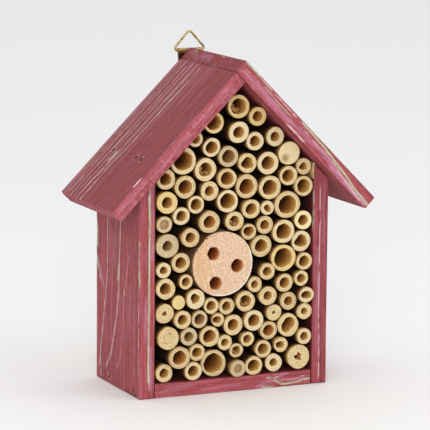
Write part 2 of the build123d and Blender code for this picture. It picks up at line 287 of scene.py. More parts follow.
def cut_away(piece, work):
    """Cut the shapes of a work mesh out of a piece."""
    mesh = bpy.data.meshes.new("cutters")
    work.to_mesh(mesh)
    work.free()
    cutter = bpy.data.objects.new("cutters", mesh)
    bpy.context.collection.objects.link(cutter)
    change = piece.modifiers.new("cut", "BOOLEAN")
    change.object = cutter
    change.operation = "DIFFERENCE"
    change.solver = "EXACT"
    graph = bpy.context.evaluated_depsgraph_get()
    done = bpy.data.meshes.new_from_object(piece.evaluated_get(graph), preserve_all_data_layers=True,
                                           depsgraph=graph)
    piece.modifiers.clear()
    piece.data = done
    piece.data.set_sharp_from_angle(angle=CREASE)
    bpy.data.objects.remove(cutter)


def cut_holes(piece, rounds):
    """Cut round holes in a piece: each is a start, an end and a radius, in millimetres."""
    work = bmesh.new()
    for start, end, radius in rounds:
        run = end - start
        place = Matrix.Translation(MM * (start + end) / 2) @ run.to_track_quat("Z", "Y").to_matrix().to_4x4()
        bmesh.ops.create_cone(work, cap_ends=True, segments=HOLE_SIDES, radius1=MM * radius,
                              radius2=MM * radius, depth=MM * run.length, matrix=place)
    cut_away(piece, work)


def skin_over(rings, closed=False):
    """Points and faces over rings of points. The ends are capped, unless the rings close on themselves."""
    count = len(rings[0])
    points = np.concatenate(rings)
    faces = []
    for ring in range(len(rings) if closed else len(rings) - 1):
        here, there = ring * count, (ring + 1) % len(rings) * count
        for side in range(count):
            after = (side + 1) % count
            faces.append([here + side, here + after, there + after, there + side])
    if not closed:
        faces.append(list(reversed(range(count))))
        faces.append([(len(rings) - 1) * count + side for side in range(count)])
    return points, faces


def turned(rings, origin, side=(1, 0, 0), up=(0, 0, 1), axis=(0, 1, 0)):
    """Rings of points round an axis, each from radii and places along it."""
    turn = whole_turn(len(rings[0][0]))
    across, rise, along = [np.array(direction) for direction in (side, up, axis)]
    return [np.array(origin) + np.outer(radii * np.cos(turn), across) + np.outer(radii * np.sin(turn), rise)
            + np.outer(places + 0 * turn, along) for radii, places in rings]


def swept(path, radii, sides, closed=False):
    """Points and faces of a round wire along a path."""
    path = np.array(path)
    if closed:
        runs = np.roll(path, -1, 0) - np.roll(path, 1, 0)
    else:
        runs = np.gradient(path, axis=0)
    turn = whole_turn(sides)
    rings = []
    side = Vector(runs[0]).orthogonal().normalized()
    for place, run, radius in zip(path, runs, radii):
        along = Vector(run).normalized()
        side = (side - along * side.dot(along)).normalized()
        up = along.cross(side)
        rings.append(place + radius * (np.outer(np.cos(turn), side) + np.outer(np.sin(turn), up)))
    return skin_over(rings, closed)


# ---------------------------------------------------------------- painted boards


class Board:
    """A sawn board: its grain runs along, its width across and its thickness through."""

    def __init__(self, node, corner, along, across, through, reach, width, thickness, seed,
                 ease=BOARD_EASE):
        self.node = node
        self.corner = Vector(corner)
        self.directions = (Vector(along), Vector(across), Vector(through))
        self.reach = reach          # gives where the grain starts and ends, from across and through
        self.width = width
        self.thickness = thickness
        self.seed = seed
        self.ease = ease
        self.deep = {}              # painted shade: faces darkened for how the light falls on them, and how much
        self.sawn = 0.0             # how plainly the saw's teeth show across the front
        self.marks = []

    def mark(self, face, kind, *lines):
        """Worn lines, chips or stains on a face: each has its width, strength, raggedness and points."""
        for width, strength, ragged, *points in lines:
            self.marks.append((face, kind, width, np.array(points, float), strength, ragged))


# The faces of a board: which of its directions each looks along, and which way.
FACES = {"top": (2, 1), "under": (2, -1), "front": (1, -1), "back": (1, 1), "start": (0, -1), "end": (0, 1)}
KINDS = ("pale", "green", "lilac", "dark")


def stations(length, step, ease):
    """Places along one side of a board, close together where its edges are rounded."""
    near = [ease * share for share in (0, 0.12, 0.4, 1.0)]
    count = max(1, round((length - 2 * ease) / step))
    middle = [ease + (length - 2 * ease) * place / count for place in range(1, count)]
    return near + middle + [length - place for place in reversed(near)]


def shell(counts):
    """The surface of a lattice: its grid places and its quads."""
    index = {}
    places = []

    def at(*place):
        if place not in index:
            index[place] = len(places)
            places.append(place)
        return index[place]

    quads = []
    for axis in range(3):
        first, second = [other for other in range(3) if other != axis]
        for side in (0, counts[axis] - 1):
            for one in range(counts[first] - 1):
                for two in range(counts[second] - 1):
                    ring = []
                    for step_one, step_two in ((0, 0), (1, 0), (1, 1), (0, 1)):
                        place = [0, 0, 0]
                        place[axis] = side
                        place[first] = one + step_one
                        place[second] = two + step_two
                        ring.append(at(*place))
                    quads.append(ring)
    return np.array(places), quads


def distance_to_line(one, two, points):
    """How far places are from a run of straight stretches."""
    best = np.full(one.shape, 1e9)
    for (x0, y0), (x1, y1) in zip(points[:-1], points[1:]):
        run_x, run_y = x1 - x0, y1 - y0
        share = np.clip(((one - x0) * run_x + (two - y0) * run_y) / (run_x ** 2 + run_y ** 2), 0, 1)
        best = np.minimum(best, np.hypot(one - x0 - share * run_x, two - y0 - share * run_y))
    return best


def wear(board, place, normal):
    """How pale, green, lilac and dark each place is, from the board's marks and its edges, and how much
    painted shade its face gets.
    """
    layers = np.zeros((len(place), 4))
    for number, (face, kind, width, points, strength, ragged) in enumerate(board.marks):
        axis, side = FACES[face]
        one, two = [place[:, other] for other in range(3) if other != axis]
        two = two + WOBBLE * ripple(board.seed + 77 * number, one * 0.06, one * 0)
        facing = smooth(normal[:, axis] * side, 0.25, 0.6)
        rough = 1 + ragged * ripple(board.seed + 31 * number, one * 0.35, two * 2.1)
        rough += 0.5 * ragged * ripple(board.seed + 57 * number, one * 1.3, two * 2.9)
        away = distance_to_line(one, two, points)
        amount = strength * facing * (1 - smooth(away, 0.35 * width * rough, width * np.maximum(rough, 0.3)))
        channel = KINDS.index(kind)
        layers[:, channel] = np.maximum(layers[:, channel], np.clip(amount, 0, 1))
    edge = 1 - np.abs(normal).max(1)
    rub = ripple(board.seed + 5, place[:, 0] * 0.11, (place[:, 1] + place[:, 2]) * 0.2)
    rub += 0.6 * ripple(board.seed + 6, place[:, 0] * 0.6, (place[:, 1] - place[:, 2]) * 0.6)
    layers[:, 2] = np.maximum(layers[:, 2], smooth(edge, 0.05, 0.25) * smooth(rub, -0.2, 0.8) * 0.6)
    layers[:, 0] = np.maximum(layers[:, 0], smooth(edge, 0.1, 0.28) * smooth(rub, 0.95, 1.25) * 0.7)
    # Painted shade: each listed face is darkened by its amount, for how the light falls on it.
    deep = np.zeros(len(place))
    for face, amount in board.deep.items():
        axis, side = FACES[face]
        deep = np.maximum(deep, amount * smooth(normal[:, axis] * side, 0.2, 0.8))
    return layers, deep


def make_board(board, finish, holes=()):
    """Build a board with eased edges, grain that stands up and marks of wear."""
    length = board.reach(np.array([board.width / 2]), np.array([board.thickness / 2]))
    length = float(length[1][0] - length[0][0])
    sides = (length, board.width, board.thickness)
    ticks = [np.array(stations(side, step, board.ease)) for side, step in zip(sides, BOARD_STEPS)]
    grid, quads = shell([len(tick) for tick in ticks])
    outer = np.stack([ticks[axis][grid[:, axis]] for axis in range(3)], 1)
    inner = np.clip(outer, board.ease, np.array(sides) - board.ease)
    normal = outer - inner
    normal /= np.linalg.norm(normal, axis=1)[:, None]
    place = inner + normal * board.ease
    layers, deep = wear(board, place, normal)

    grain = ripple(board.seed + 1, place[:, 0] * 0.02, (place[:, 1] + place[:, 2]) * 0.8)
    fuzz = ripple(board.seed + 2, place[:, 0] * 0.3, (place[:, 1] - place[:, 2]) * 0.9)
    broken = np.clip(np.abs(normal[:, 0]) - 0.5, 0, 1)
    broken *= ripple(board.seed + 3, place[:, 1] * 0.9, place[:, 2] * 0.5)
    depth = -GRAIN_DEPTH * (0.5 - 0.5 * grain) - 0.35 * GRAIN_DEPTH * np.abs(fuzz)
    depth += GRAIN_DEPTH * 0.6 * layers[:, 0] - CHIP_DEPTH * (layers[:, 1] * 0.5 + layers[:, 3])
    depth -= END_DEPTH * np.abs(broken)
    place = place + normal * depth[:, None]

    start, stop = board.reach(place[:, 1], place[:, 2])
    run = start + (stop - start) * place[:, 0] / length
    along, across, through = [np.array(direction) for direction in board.directions]
    points = np.array(board.corner) + run[:, None] * along + place[:, 1:2] * across + place[:, 2:] * through
    points = np.clip(points, *[np.array(corner) for corner in millimetres(board.node)])
    piece = new_piece(f"{board.node}_timber", points, quads, finish, board.node)
    add_layer(piece, "wear", layers)
    # The darkening layer carries painted shade on whole faces.
    add_layer(piece, "stain", deep)
    add_layer(piece, "sawn", board.sawn * smooth(-normal[:, 1], 0.3, 0.9))
    add_layer(piece, "grain", place + np.array((board.seed * 40.0, 0, 0)))
    if holes:
        cut_holes(piece, holes)
    return piece


def millimetres(node):
    """The lowest and highest corners of a CAD node."""
    low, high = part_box(node)
    return low / MM, high / MM


def even(start, stop):
    """A board whose ends are square."""
    return lambda across, through: (start + 0 * across, stop + 0 * across)


def roof_board(node, side, seed):
    """One slope of the roof. The right one, on side 1, laps over the upper end of the left one."""
    low, high = millimetres(node)
    apex = millimetres("back_panel")[1].z
    lap = -millimetres("right_roof_board")[0].x
    thickness = lap / SLANT
    length = (high.z - low.z) / SLANT - thickness
    corner = (0, low.y, apex) if side < 0 else (-lap, low.y, apex + lap)
    return Board(node, corner, (side * SLANT, 0, -SLANT), (0, 1, 0), (side * SLANT, 0, SLANT),
                 even(0, length), high.y - low.y, thickness, seed)


def left_roof_board():
    board = roof_board("left_roof_board", -1, 11)
    # Painted shade: the top face darkened.
    board.deep = {"top": 1.0}
    board.sawn = 1.0
    board.mark("top", "pale", (0.45, 1.0, 0.6, (4, 45), (30, 46), (66, 47), (80, 49), (108, 49)))
    board.mark("top", "green",
               (0.6, 0.8, 0.6, (18, 45.5), (42, 46.3)),
               (0.6, 0.6, 0.6, (60, 47), (72, 48)),
               (0.5, 0.7, 0.6, (10, 52.5), (30, 53)),
               (0.5, 0.7, 0.6, (56, 63.5), (84, 64.5)))
    board.mark("top", "pale",
               (0.42, 0.95, 0.6, (2, 52), (50, 53), (108, 55)),
               (0.4, 0.45, 0.6, (0, 50), (44, 50.6), (90, 52)),
               (0.36, 0.7, 0.6, (0, 57.5), (60, 58.5), (108, 60)),
               (0.4, 0.75, 0.6, (6, 63), (55, 63.5), (108, 65)),
               (0.4, 0.75, 0.6, (0, 68), (108, 69.5)),
               (0.4, 0.5, 0.6, (0, 70.6), (108, 72)),
               (0.36, 0.6, 0.6, (0, 73), (108, 74.5)),
               (0.36, 0.6, 0.6, (0, 76.6), (108, 77.6)),
               (0.35, 0.3, 0.6, (2, 41), (40, 42), (96, 43)),
               (0.35, 0.25, 0.6, (0, 33.5), (60, 34.5)))
    board.mark("top", "lilac",
               (2.2, 0.5, 0.6, (0, 77), (108, 78)),
               (2.6, 0.5, 0.6, (0, 60), (70, 61)),
               (2.4, 0.4, 0.6, (2, 37), (34, 39)),
               (1.6, 0.3, 0.6, (2, 31), (40, 33)))
    board.mark("top", "green", (0.86, 1.0, 0.4, (71, 55.5), (78, 55.8)))
    board.mark("top", "pale", (0.6, 1.0, 0.3, (82, 0.6), (88, 0.7)))
    board.mark("front", "lilac",
               (1.0, 0.5, 0.6, (8, 6.5), (40, 5.5)),
               (1.2, 0.6, 0.6, (44, 4.5), (78, 4.0)),
               (0.8, 0.5, 0.6, (82, 5.5), (106, 5.0)))
    board.mark("end", "lilac", (2, 0.5, 0.6, (4, 4), (60, 5)))
    return board


def right_roof_board():
    board = roof_board("right_roof_board", 1, 23)
    # Painted shade: the upper end and the top face darkened.
    board.deep = {"start": 1.0, "top": 1.0}
    board.sawn = 0.4
    board.mark("front", "green", (0.65, 1.0, 0.5, (1, 8.8), (6, 8.6), (13, 8.3)))
    board.mark("front", "pale", (0.43, 0.8, 0.8, (12, 8.4), (26, 7.6), (46, 7.2)))
    board.mark("front", "green",
               (0.7, 1.0, 0.3, (52, 7.9), (66, 7.3), (80, 6.8), (95, 5.4), (108, 3.4), (118, 2.5)))
    board.mark("front", "pale", (0.5, 0.8, 0.9, (88, 3.8), (100, 2.6), (112, 1.4)))
    board.mark("front", "green", (0.36, 0.6, 0.9, (98, 4.2), (108, 2.4)))
    board.mark("front", "pale", (0.5, 0.8, 1.0, (46, 0.5), (60, 0.5)))
    board.mark("front", "lilac",
               (2.0, 0.9, 0.6, (4, 4.0), (46, 3.0)),
               (2.2, 1.0, 0.6, (84, 2.5), (116, 2.0)),
               (1.8, 0.8, 0.6, (46, 3.0), (84, 4.5)))
    board.mark("front", "green", (0.4, 0.7, 0.6, (20, 6.2), (44, 5.6)))
    board.mark("front", "pale", (0.36, 0.6, 0.8, (56, 5.6), (90, 4.6)))
    board.mark("front", "dark", (1, 0.5, 0.6, (30, 2.6), (35, 2.4)))
    board.mark("start", "lilac",
               (3.2, 0.9, 0.6, (44, 4.5), (56, 5.0)),
               (2.4, 0.6, 0.6, (60, 3.0), (74, 6.0)))
    board.mark("start", "green", (0.5, 0.7, 0.9, (66, 7.0), (70, 7.6)))
    board.mark("start", "pale", (0.43, 0.8, 0.6, (28, 7.8), (31, 7.9)))
    board.mark("start", "dark", (2.6, 0.45, 0.6, (4, 3), (14, 3)))
    board.mark("top", "pale",
               (0.58, 0.7, 0.8, (3, 24), (50, 25.5), (119, 24)),
               (0.5, 0.6, 0.9, (0, 31), (60, 32), (119, 33.5)))
    board.mark("top", "green", (0.65, 0.8, 0.9, (70, 24.8), (92, 24.5)))
    board.mark("top", "pale", (0.36, 0.5, 0.9, (0, 13), (119, 14)))
    board.mark("top", "lilac", (2.5, 0.5, 0.6, (10, 45), (80, 47)))
    return board


def side_wall(node, side, seed):
    low, high = millimetres(node)
    thickness = high.x - low.x
    inner = low.x if side > 0 else high.x
    return Board(node, (inner, low.y, low.z), (0, 0, 1), (0, 1, 0), (side, 0, 0),
                 lambda across, through: (0 * through, high.z - low.z - through),
                 high.y - low.y, thickness, seed)


def left_wall():
    board = side_wall("left_wall", -1, 37)
    # Painted shade: a little on the outer face, much on the inner face.
    board.deep = {"top": 0.3, "under": 2.8}
    board.mark("top", "pale",
               (0.58, 0.75, 0.8, (118, 49), (70, 49), (59, 51), (34, 56.5), (18, 60.5), (8, 62)),
               (0.72, 0.8, 0.8, (118, 28), (86, 30), (58, 32), (46, 34.5), (33, 38.5), (20, 43), (10, 51)))
    board.mark("top", "green",
               (1.08, 1.0, 0.7, (76, 31.5), (68, 32)),
               (0.65, 0.9, 0.9, (98, 29), (84, 30.5)),
               (0.43, 0.5, 0.9, (60, 32), (47, 34.5)))
    board.mark("top", "pale",
               (0.43, 0.5, 0.9, (84, 17), (71, 20), (61, 23), (46, 24), (30, 27), (16, 31), (13, 35)))
    board.mark("top", "green",
               (0.58, 0.8, 0.6, (62, 23), (59.5, 23.2)),
               (0.65, 0.9, 0.9, (96, 0.8), (70, 0.8)))
    board.mark("top", "pale",
               (0.43, 0.6, 1.1, (70, 0.8), (14, 1.2)),
               (0.29, 0.35, 1.0, (110, 7), (10, 8)))
    board.mark("top", "green", (1.8, 1.0, 1.2, (98, 66.3), (84, 66.1)))
    board.mark("top", "lilac", (2.4, 1.0, 0.8, (76, 65), (61, 56.5)))
    board.mark("top", "green", (1.1, 0.9, 1.1, (76, 66), (64, 61)))
    board.mark("top", "dark", (0.7, 0.6, 1.1, (70, 65), (58, 60)))
    board.mark("top", "lilac", (2, 0.5, 0.6, (52, 65.5), (16, 66)))
    board.mark("top", "green", (0.72, 0.6, 1.1, (15, 61), (5, 60)))
    board.mark("top", "lilac",
               (3, 0.45, 0.6, (112, 36), (76, 38)),
               (2.4, 0.4, 0.6, (66, 14), (44, 16)))
    board.mark("top", "dark", (1.2, 0.9, 1.2, (1.2, 5), (0.8, 21)))
    board.mark("top", "pale",
               (0.58, 0.9, 0.4, (3.5, 58), (4.5, 60)),
               (0.5, 0.8, 0.5, (3.5, 46), (5.5, 48)))
    board.mark("front", "green", (0.62, 1.0, 0.25, (10, 3.9), (70, 3.8), (118, 3.7)))
    board.mark("front", "pale",
               (0.36, 0.9, 0.5, (112, 3.7), (132, 3.6)),
               (0.29, 0.6, 0.5, (4, 4.0), (14, 3.9)))
    board.mark("front", "lilac",
               (1.6, 0.9, 0.6, (6, 3), (30, 3.4)),
               (1.3, 0.6, 0.6, (34, 5.5), (60, 6)),
               (1.6, 0.6, 0.6, (80, 2.2), (126, 2.4)))
    return board


def right_wall():
    board = side_wall("right_wall", 1, 53)
    # Painted shade: on the front, on the outer face and, most, on the inner face.
    board.deep = {"front": 0.8, "top": 0.5, "under": 2.8}
    board.mark("front", "pale", (0.32, 0.8, 0.6, (4, 4.8), (60, 4.6), (118, 4.4)))
    board.mark("front", "lilac",
               (1.6, 0.6, 0.6, (20, 3.0), (80, 3.2)),
               (1.2, 0.6, 0.6, (86, 7.0), (122, 6.8)))
    board.mark("top", "pale",
               (0.58, 0.7, 0.8, (118, 40), (80, 39), (45, 36), (20, 37), (4, 36)),
               (0.5, 0.6, 0.9, (118, 52), (60, 53), (4, 55)))
    board.mark("top", "green", (0.79, 0.9, 0.8, (66, 37.5), (58, 37)))
    board.mark("top", "pale", (0.36, 0.5, 0.9, (118, 18), (60, 16), (4, 17)))
    board.mark("top", "lilac", (2.6, 0.5, 0.6, (90, 26), (40, 24)))
    board.mark("under", "green", (0.58, 0.7, 1.0, (112, 0.8), (88, 0.8)))
    # Painted shade: a dark band along the front of the inner face, where the canes shade it.
    board.mark("under", "dark", (14, 1.0, 0.6, (130, 15), (0, 15)))
    return board


def floor_board():
    low, high = millimetres("floor_board")
    board = Board("floor_board", low, (1, 0, 0), (0, 1, 0), (0, 0, 1), even(0, high.x - low.x),
                  high.y - low.y, high.z - low.z, 71)
    # Painted shade: the floor's top, inside the house.
    board.deep = {"top": 2.8}
    board.mark("front", "green",
               (0.58, 1.0, 0.35, (75.6, 4.8), (77.3, 4.0), (81, 1.8), (85.5, 1.8), (91.1, 2.3), (99.3, 3.3)),
               (0.5, 0.9, 0.6, (77, 7.5), (78, 6.5), (75.8, 6)),
               (0.58, 0.9, 0.6, (71.6, 6.6), (73, 6.4)),
               (0.5, 0.9, 1.0, (67.5, 1.0), (71, 0.8), (74.6, 0.8)))
    board.mark("front", "dark", (0.9, 0.7, 0.8, (70, 3.6), (71, 3.4)))
    board.mark("front", "lilac",
               (1.4, 0.8, 0.6, (76, 5), (84, 8)),
               (1.6, 0.8, 0.6, (66, 1.5), (74, 4.5)))
    board.mark("front", "pale", (0.58, 0.9, 0.6, (93.5, 5.4), (95.5, 5.6)))
    board.mark("front", "lilac",
               (1.1, 1.0, 0.6, (81, 4.2), (97, 4.4)),
               (1.4, 0.5, 0.6, (4, 4.5), (24, 5.5)),
               (1.2, 0.4, 0.6, (30, 3), (54, 4)))
    return board


def back_panel():
    low, high = millimetres("back_panel")
    half = (high.x - low.x) / 2

    def reach(across, through):
        return 0 * across, high.z - low.z - np.abs(across - half)
    return Board("back_panel", low, (0, 0, 1), (1, 0, 0), (0, 1, 0),
                 reach, 2 * half, high.y - low.y, 97, PANEL_EASE)


# ---------------------------------------------------------------- canes

CANE_SIDES = 48
SMALLEST_BORE = 0.3       # radius
THINNEST_WALL = 0.7
FACE_RINGS = (1.0, 0.88, 0.74, 0.6, 0.46, 0.32, 0.2, 0.1, 0.0)
BORE_STEPS = ((0.8, 0.0), (1.8, 0.01), (3.5, 0.02), (6.0, 0.02), (10.0, 0.03), (18.0, 0.03), (30.0, 0.04))
FIBRE_RADII = (0.09, 0.09, 0.08, 0.07, 0.05, 0.02)
LOG_SHARE = 6             # the log gets as many loose fibres as this many canes
CANE_SEEDS = 3            # seeds between one cane and the next
COURSE_SEEDS = 40         # seeds between one third of a course and the next
FIRST_SEED = 1000
PLAIN = ("plain", "straw", "")

# The shapes of bores: how much each lobe bulges, how many there are and which way they point, in degrees.
BORES = {
    "plain": ((0.03, 2, 30), (0.02, 3, 100)),
    "oval": ((0.17, 2, 50), (0.03, 3, 10)),
    "flat": ((0.2, 2, 0), (0.04, 3, 90)),
    "star": ((0.18, 5, 20), (0.16, 3, 70)),
    "ragged": ((0.1, 3, 200), (0.05, 5, 40), (0.06, 2, 10)),
    "point_left": ((0.16, 1, 180), (0.15, 2, 0), (0.08, 3, 180)),
    "point_low": ((0.16, 1, 310), (0.15, 2, 130), (0.08, 3, 310)),
    "half": ((0.12, 1, 90), (0.08, 2, 0), (-0.06, 3, 90)),
    "broken": ((0.2, 1, 130), (0.1, 3, 130), (0.05, 5, 100)),
}

# Canes that aren't plain, by their bore, their tint and what is in them: their place and number there.
ODD_LOOKS = {
    ("plain", "grey", "plug"): (("01_middle", 1), ("09_left", 0)),
    ("star", "straw", ""): (("01_right", 1),),
    ("plain", "straw", "crumbs"): (("02_middle", 0), ("05_middle", 2), ("09_middle", 0), ("12_left", 1)),
    ("point_left", "straw", ""): (("02_right", 1), ("04_middle", 0)),
    ("plain", "straw", "crack"): (("03_left", 0),),
    ("plain", "grey", ""): (("03_left", 1), ("04_left", 1), ("08_left", 0), ("13_middle", 1)),
    ("oval", "straw", ""): (("03_right", 1),),
    ("ragged", "straw", ""): (("05_left", 0), ("08_right", 2), ("12_middle", 1), ("12_right", 2)),
    ("plain", "yellow", ""): (("05_left", 1), ("07_right", 1), ("10_left", 0), ("13_left", 0),
                              ("14_middle", 0), ("15_middle", 1)),
    ("broken", "straw", ""): (("05_left", 2),),
    ("flat", "straw", ""): (("05_right", 2),),
    ("half", "straw", ""): (("09_middle", 1),),
    ("plain", "pale", ""): (("09_right", 1),),
    ("point_low", "straw", ""): (("10_right", 0),),
    ("plain", "pale", "knot"): (("13_right", 0),),
    ("plain", "yellow", "crumbs"): (("15_middle", 0),),
}
ODD_CANES = {(f"canes_course_{place}", number): look
             for look, canes in ODD_LOOKS.items() for place, number in canes}
TINTS = {"straw": (0, 0, 0), "grey": (1, 0, 0), "yellow": (0, 1, 0), "pale": (0, 0, 1)}


class Bundle:
    """Closed shapes that make up one piece, with the attributes of their vertices."""

    def __init__(self):
        self.points = []
        self.faces = []
        self.zones = []
        self.tints = []
        self.places = []
        self.count = 0

    def add(self, points, faces, zones=(0, 0, 0, 0), tint=(0, 0, 0, 0), places=None):
        """Add a closed shape; its finish is laid out from its points unless it has places of its own."""
        self.points.append(np.array(points))
        self.faces += [[self.count + corner for corner in face] for face in faces]
        self.zones.append(np.array(zones) + np.zeros((len(points), 4)))
        self.tints.append(np.array(tint) + np.zeros((len(points), 4)))
        self.places.append(np.array(points if places is None else places))
        self.count += len(points)
        return self

    def make(self, name, finish, node, slot, body="house"):
        piece = new_piece(name, np.concatenate(self.points), self.faces, finish, node, body)
        add_layer(piece, "zone", np.concatenate(self.zones))
        add_layer(piece, "tint", np.concatenate(self.tints))
        add_layer(piece, "place", np.concatenate(self.places))
        return piece


def lobes(turn, terms):
    """The sum of some lobes round a circle."""
    return sum(amount * np.cos(waves * (turn - math.radians(way))) for amount, waves, way in terms)


def face_dirt(filling, radii, turn, outside):
    """How dark a cane's sawn face is where it has split or has a knot."""
    if filling == "crack":
        split = np.exp(-((turn - 1.2) / 0.16) ** 2) + 0.8 * np.exp(-((turn - 4.1) / 0.12) ** 2)
        groove = np.exp(-((radii - 0.45 * outside) / 0.5) ** 2)
        return 0.3 * split * smooth(radii, 0.5, 2.0) + 0.4 * groove
    if filling == "knot":
        away = np.hypot(radii * np.cos(turn) + 0.35 * outside, radii * np.sin(turn) + 0.38 * outside)
        return 0.5 * (1 - smooth(away, 0.1 * outside, 0.75 * outside))
    return 0.0 * turn


def measure_cane(part):
    """The middle of a cane's mouth, its radius and length, and its bore's radius and depth."""
    low, high = part.min(0), part.max(0)
    middle = (low + high) / 2
    outside = (high[0] - low[0]) / 2
    away = np.hypot(part[:, 0] - middle[0], part[:, 2] - middle[2])
    bore = away[part[:, 1] < low[1] + 0.05].min()
    if bore > 0.9 * outside:
        bore = 0.0
    bottom = part[away < 0.9 * outside][:, 1].max() - low[1] if bore else 0.0
    return (middle[0], low[1], middle[2]), outside, high[1] - low[1], bore, bottom


def add_cane(bundle, part, look, seed):
    """One cane: skin, sawn face, inner lip and bore, or a solid stem."""
    shape, tint, filling = look
    centre, outside, length, bore, bottom = measure_cane(part)
    chance = np.random.default_rng(seed)
    turn = whole_turn(CANE_SIDES)

    sway = ripple(seed, 3 + 1.6 * np.cos(turn), 3 + 1.6 * np.sin(turn))
    flatness, way = 0.02 * chance.random(), 6 * chance.random()
    skin = outside * (1 - 0.025 - 0.025 * sway - flatness * (1 + np.cos(2 * turn + way)))
    skin = np.minimum(skin, outside)
    tilt = chance.uniform(0.0, 0.35)
    way = chance.uniform(0, 2 * math.pi)

    def cut(radii):
        rough = ripple(seed + 1, radii * np.cos(turn) * 2.6, radii * np.sin(turn) * 2.6)
        rough += 0.6 * ripple(seed + 2, radii * np.cos(turn) * 6, radii * np.sin(turn) * 1.5)
        return 0.12 + tilt * (1 + radii / outside * np.cos(turn - way)) + 0.11 * rough

    rings = []
    zones = []

    def ring(radii, places, sawn=0.0, depth=0.0, lip=0.0, dirt_and_shade=0.0):
        rings.append((radii, places))
        zones.append(np.stack([value + 0 * turn for value in (sawn, depth, lip, dirt_and_shade)], 1))

    rim = cut(skin)
    # The skin darkens to near black within a few millimetres of the mouth: painted shade in the gaps between
    # canes.
    for place in (length, 0.55 * length, 22.0, 14.0, 9.0, 6.0, 4.0, 2.5, 1.4):
        ring(skin, place + 0 * turn, dirt_and_shade=smooth(place + 1.2 * sway, -0.5, 5.0))
    ring(skin, rim + 0.7, dirt_and_shade=0.1 + 0.1 * sway)
    ring(skin - 0.03, rim + 0.25, 0.1, dirt_and_shade=0.4 + 0.15 * sway)
    ring(skin - 0.14, rim + 0.04, 0.6, dirt_and_shade=0.5 + 0.2 * sway)
    uneven = 0.05 * ripple(seed + 3, 9 + 3 * np.cos(turn), 3 * np.sin(turn))
    hollow = np.maximum(bore * (1 + lobes(turn, BORES[shape]) + uneven), SMALLEST_BORE)
    hollow = np.minimum(hollow, skin - THINNEST_WALL)
    wall = skin - 0.3 - (hollow + 0.35 if bore else 0.1)
    for share in FACE_RINGS:
        radii = skin - 0.3 - wall * (1 - share)
        dirt_and_shade = face_dirt(filling, radii, turn, outside)
        sunk = 0.5 * dirt_and_shade if filling == "crack" else 0.0
        ring(radii, cut(radii) + sunk, 1.0, 0.0, 1 - smooth(radii - hollow, 0.3, 1.1) if bore else 0.0, dirt_and_shade)
    if bore:
        lip = cut(hollow)
        ring(hollow + 0.16, lip + 0.03, 0.9, 0.0, 1.0)
        ring(hollow + 0.03, lip + 0.22, 0.3, 0.12, 0.8)
        # The bore's colour darkens the deeper it goes: painted shade.
        for place, narrower in BORE_STEPS + ((bottom, 0.05),):
            tightness = 1 - narrower - 0.02 * ripple(seed + 4, 5 + 2 * np.cos(turn), place * 0.4 + 0 * turn)
            ring(hollow * tightness, place + 0 * turn, 0.0, 0.15 + 0.85 * smooth(place, 0, 16))

    points, faces = skin_over(turned(rings, centre))
    own_grain = np.array((seed * 17.0, 0, seed * 9.0))
    colour = (*TINTS[tint], chance.random())
    bundle.add(points, faces, np.concatenate(zones), colour, points - (np.array(centre) - own_grain))
    if bore and filling == "plug":
        add_plug(bundle, centre, hollow, seed)
    if bore and filling == "crumbs":
        add_crumbs(bundle, centre, hollow, seed)


def add_plug(bundle, mouth, hollow, seed):
    """A plug of chewed fibre, just inside a cane's mouth."""
    turn = whole_turn(CANE_SIDES)
    rings = [(0.3 * hollow, 3.2 + 0 * turn), (0.94 * hollow, 2.8 + 0 * turn)]
    for share in (0.96, 0.8, 0.6, 0.42, 0.25, 0.1):
        rough = ripple(seed + 7, 20 + 5 * share * np.cos(turn), 20 + 5 * share * np.sin(turn))
        rings.append((share * hollow, 1.1 + 0.5 * rough + 0.3 * share))
    points, faces = skin_over(turned(rings, mouth))
    bundle.add(points, faces, (0.8, 0.0, 0.0, 0.45), (1, 0, 0, 0.3), points + seed)


def add_crumbs(bundle, mouth, hollow, seed):
    """Crumbs of pith and nest wall that lie in the lower left of a bore."""
    chance = np.random.default_rng(seed + 50)
    turn = whole_turn(14)
    for number in range(9):
        angle = math.radians(chance.uniform(170, 310))
        size = hollow.mean() * chance.uniform(0.16, 0.34)
        away = hollow.min() * 0.92 - size * 0.8
        middle = np.array(mouth) + (away * math.cos(angle), chance.uniform(1.2, 5.0), away * math.sin(angle))
        rings = []
        for step in (0.15, 0.3, 0.5, 0.7, 0.85):
            rough = 1 + 0.25 * ripple(seed + number, 8 + 2 * np.cos(turn), 8 + 2 * np.sin(turn) + 3 * step)
            rings.append((size * math.sin(math.pi * step) * rough,
                          size * math.cos(math.pi * step) + 0 * turn))
        points, faces = skin_over(turned(rings, middle))
        bundle.add(points, faces, (0.5, 0.25, 0, 0.5), (0.3, 0, 0, 0.6), points + seed)


def make_canes(node, finish, seed):
    """Every cane of one course in one third of the house."""
    bundle = Bundle()
    for number, part in enumerate(loose_parts(node)):
        add_cane(bundle, part, ODD_CANES.get((node, number), PLAIN), seed + CANE_SEEDS * number)
    return bundle.make(f"{node}_bamboo", finish, node, "cane")


